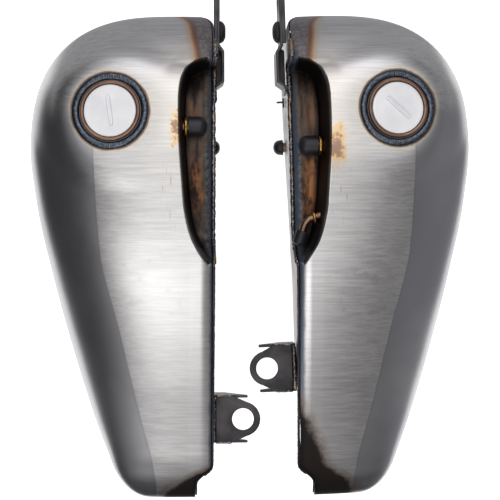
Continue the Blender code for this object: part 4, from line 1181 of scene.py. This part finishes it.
def front_bushing(side):
    """Rubber bushing through the tab, with its dome towards the frame."""
    name, thick = SIDE_NAMES[side], TAB_SHEET
    frame_at = axis_frame((TAB_U + thick, BUSH_Y, BUSH_Z), (-1, 0, 0))
    bore, rear, waist, dome = BUSH_BORE_R, BUSH_REAR_R, BUSH_HOLE_R - GAP, BUSH_DOME_R
    bush = ((bore, -2.4), (rear, -2.4), (rear, -GAP), (waist, -GAP), (waist, thick + GAP),
            (dome, thick + GAP), (dome, thick + 1.8), (dome - 1.6, thick + 4.2), (dome - 5.0, thick + 6.2),
            (bore, thick + 6.6))
    bush = make_piece(f"{name}_bushing", *turned(rounded(bush, 1.2), frame_at, 72), side, LOOKS["rubber"])
    show(bush, f"{name}_tank", "black_rubber", f"{name}_front_bushing")


def rear_bracket(side):
    name, y = SIDE_NAMES[side], EYE_Y[side]
    low, high, half = EYE_Z - EYE_SHEET, EYE_Z, CHANNEL_HALF - 0.2
    wall = float(min(wall_u(y - CHANNEL_HALF, high), wall_u(y + CHANNEL_HALF, high))) - 2 * GAP
    edge = wall - 2 * EYE_WELD_R - 2 * GAP
    straight_end = CHANNEL_END_U + EYE_STRAIGHT
    outline = [(edge, y + half), (straight_end, y + half)]
    outline += arc((EYE_U[side], y), EYE_NOSE_R, 105, 255, 48)
    outline += [(straight_end, y - half), (edge, y - half)]
    hole = cutter(side, axis_frame((EYE_U[side], y, 0), (0, 0, 1)), EYE_HOLE_R, 80, 120)
    plate(f"{name}_eye", outline, (low, high), side, 0.8, (f"{name}_rear_eye_plate",), (hole,))
    top, foot, t, h = low - GAP, low - CHANNEL_DROP, CHANNEL_SHEET, CHANNEL_HALF
    channel = [(wall, y + h), (CHANNEL_END_U, y + h), (CHANNEL_END_U, y + h - t), (wall - t, y + h - t),
               (wall - t, y - h + t), (CHANNEL_END_U, y - h + t), (CHANNEL_END_U, y - h), (wall, y - h)]
    plate(f"{name}_channel", channel, (foot, top), side, 0.8, (f"{name}_rear_channel",), rake=CHANNEL_RAKE)
    along_wall = [(wall - EYE_WELD_R - GAP, y + end, high - 0.6) for end in (h - 2, 0, 2 - h)]
    weld = bead(along_wall, 2.2, side, f"{name}_eye_bead", LOOKS["weld"], pitch=3.0, seed=11.0 + side)
    show(weld, f"{name}_tank", "weld_bead", f"{name}_rear_bracket_weld")
    for label, edge in (("front", y + half - 0.6), ("back", y - half + 0.6)):
        line = [(wall - 4, edge, high + 0.1), (straight_end - 1, edge, high + 0.1)]
        weld = bead(line, 1.3, side, f"{name}_eye_bead_{label}", LOOKS["weld"], pitch=2.6, seed=edge)
        show(weld, f"{name}_tank", "weld_bead")


def hose_clip():
    y, z, half, thick = CLIP_Y, CLIP_Z, CLIP_HALF, CLIP_SHEET
    wall = float(wall_u(y, z)) - 3 * GAP
    tip = wall - CLIP_REACH
    outline = ((wall, y - half), (wall, y + half), (wall - thick, y + half), (wall - thick, y + thick),
               (tip, y + thick), (tip, y), (wall - thick, y), (wall - thick, y - half))
    plate("right_clip", outline, (z - CLIP_HALF_HIGH, z + CLIP_HALF_HIGH), RIGHT, 0.3, ("right_hose_clip",))


def petcock_bung():
    base = axis_frame((BUNG_U, BUNG_Y, float(floor_z(BUNG_Y))), (0, 0, 1))
    ring = ((BUNG_BORE_R, -3), (BUNG_R, -3), (BUNG_R, 7), (BUNG_BORE_R, 7))
    ring = make_piece("left_bung", *turned(rounded(ring, 0.8), base, 72), LEFT, LOOKS["neck"])
    show(ring, "left_tank", "weld_bead", "left_petcock_bung")
    stem = BUNG_BORE_R - GAP
    plug = ((0, -7.5), (7.5, -7.5), (11, -7), (11, -3.4), (stem, -3.4), (stem, 6), (0, 6))
    points, faces = turned(rounded(plug, 0.6, closed=False), base, 72, closed=False)
    plug = make_piece("left_bung_plug", points, faces, LEFT, LOOKS["vinyl"])
    show(plug, "left_tank", "black_vinyl", "left_petcock_plug")


# ---------------------------------------------------------------- studio

def panel(name, x_range, y_range, height, radiance, mirrored=True):
    """Level area light that looks down; radiance is how bright the steel mirrors it."""
    light = bpy.data.lights.new(name, "AREA")
    light.shape = "RECTANGLE"
    light.size, light.size_y = x_range[1] - x_range[0], y_range[1] - y_range[0]
    light.energy = radiance * math.pi * light.size * light.size_y
    lamp = bpy.data.objects.new(name, light)
    lamp.location = (sum(x_range) / 2, sum(y_range) / 2, height)
    lamp.visible_glossy = mirrored
    bpy.context.scene.collection.objects.link(lamp)


def level(x_range, y_range, z):
    """Corners of a level rectangle."""
    (left, right), (near, far) = x_range, y_range
    return [(left, near, z), (right, near, z), (right, far, z), (left, far, z)]


def card(name, corners, grey):
    """Card seen only in reflections, which gives the steel's sides something to mirror."""
    mesh = bpy.data.meshes.new(name)
    mesh.from_pydata(corners, [], [(0, 1, 2, 3)])
    material = bpy.data.materials.new(name)
    material.use_nodes = True
    tree = material.node_tree
    tree.nodes.clear()
    glow = tree.nodes.new("ShaderNodeEmission")
    glow.inputs["Color"].default_value = (grey, grey, grey * 1.05, 1)
    tree.links.new(glow.outputs[0], tree.nodes.new("ShaderNodeOutputMaterial").inputs[0])
    mesh.materials.append(material)
    shown = bpy.data.objects.new(name, mesh)
    bpy.context.scene.collection.objects.link(shown)
    shown.visible_camera = False
    shown.visible_diffuse = False
    shown.visible_shadow = False
    shown.visible_transmission = False


# Upright cards ahead of the tanks: name, left and right X, low and high Z in metres, brightness
FRONT_CARDS = (
    ("card_front_middle", -0.35, 0.55, 1.15, 2.3, 2.05),
    ("card_front_left", -1.0, -0.35, 1.15, 2.3, 1.0),
    ("card_front_right", 0.55, 1.1, 1.15, 2.3, 1.0),
    ("card_front_foot", -1.0, 1.1, 0.0, 1.15, 0.55),
)


def cards():
    """Cards on the floor and upright round the tanks: dark left and behind, grey on the right."""
    near, far, ahead = 0.36, 1.5, 2.2
    for name, grey, tall, side in (("left", 0.06, 1.3, LEFT), ("right", 0.31, 1.0, RIGHT)):
        inner, outer = side * near, side * far
        card(f"card_low_{name}", level((inner, outer), (-far, far), 0.001), grey)
        wall = [(outer, -far, 0), (outer, far, 0), (outer, far, tall), (outer, -far, tall)]
        card(f"card_high_{name}", wall, grey)
    for name, left, right, low, high, grey in FRONT_CARDS:
        card(name, [(left, ahead, low), (right, ahead, low), (right, ahead, high), (left, ahead, high)], grey)
    card("card_low_front", level((-far, far), (0.27, ahead), 0.002), 0.4)
    card("card_low_rear", level((-near, near), (-far, -near), 0.001), 0.06)
    card("card_high_rear", [(-far, -far, 0), (far, -far, 0), (far, -far, 0.5), (-far, -far, 0.5)], 0.06)


# Ceiling panels: name, X range, Y range in metres, brightness in the steel
CEILING = (
    ("key", (-1.1, 0.3), (-0.9, 0.3), 1.18),
    ("rear", (-1.05, 0.3), (-1.65, -0.9), 1.5),
    ("bright_left", (-1.6, -0.5), (-2.5, -1.65), 4.4),
    ("bright_right", (-0.5, 0.2), (-2.5, -1.65), 3.3),
    ("tail_left", (-1.5, -0.6), (-3.1, -2.5), 1.1),
    ("tail_right", (-0.6, 0.2), (-3.1, -2.5), 0.4),
    ("side", (0.3, 0.8), (-1.9, 0.3), 0.75),
    ("front_left", (-0.9, -0.45), (0.3, 2.2), 1.3),
    ("front", (-0.45, 1.0), (0.3, 2.2), 1.9),
)
CEILING_HEIGHT, FLOOR_HALF = 2.3, 3.0


def studio():
    scene = bpy.context.scene
    scene.view_settings.view_transform = "Standard"
    world = bpy.data.worlds.new("studio")
    world.use_nodes = True
    world.node_tree.nodes["Background"].inputs["Color"].default_value = (0.30, 0.295, 0.30, 1)
    world.node_tree.nodes["Background"].inputs["Strength"].default_value = 0.8
    scene.world = world

    mesh = bpy.data.meshes.new("floor")
    whole = (-FLOOR_HALF, FLOOR_HALF)
    mesh.from_pydata(level(whole, whole, -0.002), [], [(0, 1, 2, 3)])
    s = Shader("floor_white")
    s.finish(colour=(0.9, 0.9, 0.9), roughness=0.8)
    s.surface.inputs["Emission Color"].default_value = (1, 1, 1, 1)
    s.surface.inputs["Emission Strength"].default_value = 0.75
    mesh.materials.append(s.material)
    floor = bpy.data.objects.new("floor", mesh)
    scene.collection.objects.link(floor)

    for name, x_range, y_range, radiance in CEILING:
        panel(name, x_range, y_range, CEILING_HEIGHT, radiance)
    panel("fill", (-1.5, 1.5), (-1.5, 1.5), CEILING_HEIGHT + 0.3, 0.5, mirrored=False)
    cards()


CAMERA_X, CAMERA_HEIGHT = -0.0715, 1.615
CAMERA_LEAN, CAMERA_LENS = math.radians(2.7), 102.6


def camera():
    """Straight above the pair, a little left of its middle, and aimed back at it."""
    data = bpy.data.cameras.new("camera")
    data.lens = CAMERA_LENS
    data.clip_end = 20
    seen_from = bpy.data.objects.new("camera", data)
    seen_from.location = (CAMERA_X, 0, CAMERA_HEIGHT)
    seen_from.rotation_euler = (0, -CAMERA_LEAN, 0)
    bpy.context.scene.collection.objects.link(seen_from)
    bpy.context.scene.camera = seen_from


def main():
    for side in SIDE_NAMES:
        outer_shell(side)
        tunnel_wall(side)
        seam_weld(side)
        filler(side)
        vent(side)
        crossover(side)
        front_bracket(side)
        front_bushing(side)
        rear_bracket(side)
    breather()
    hose_clip()
    petcock_bung()
    studio()
    camera()


main()
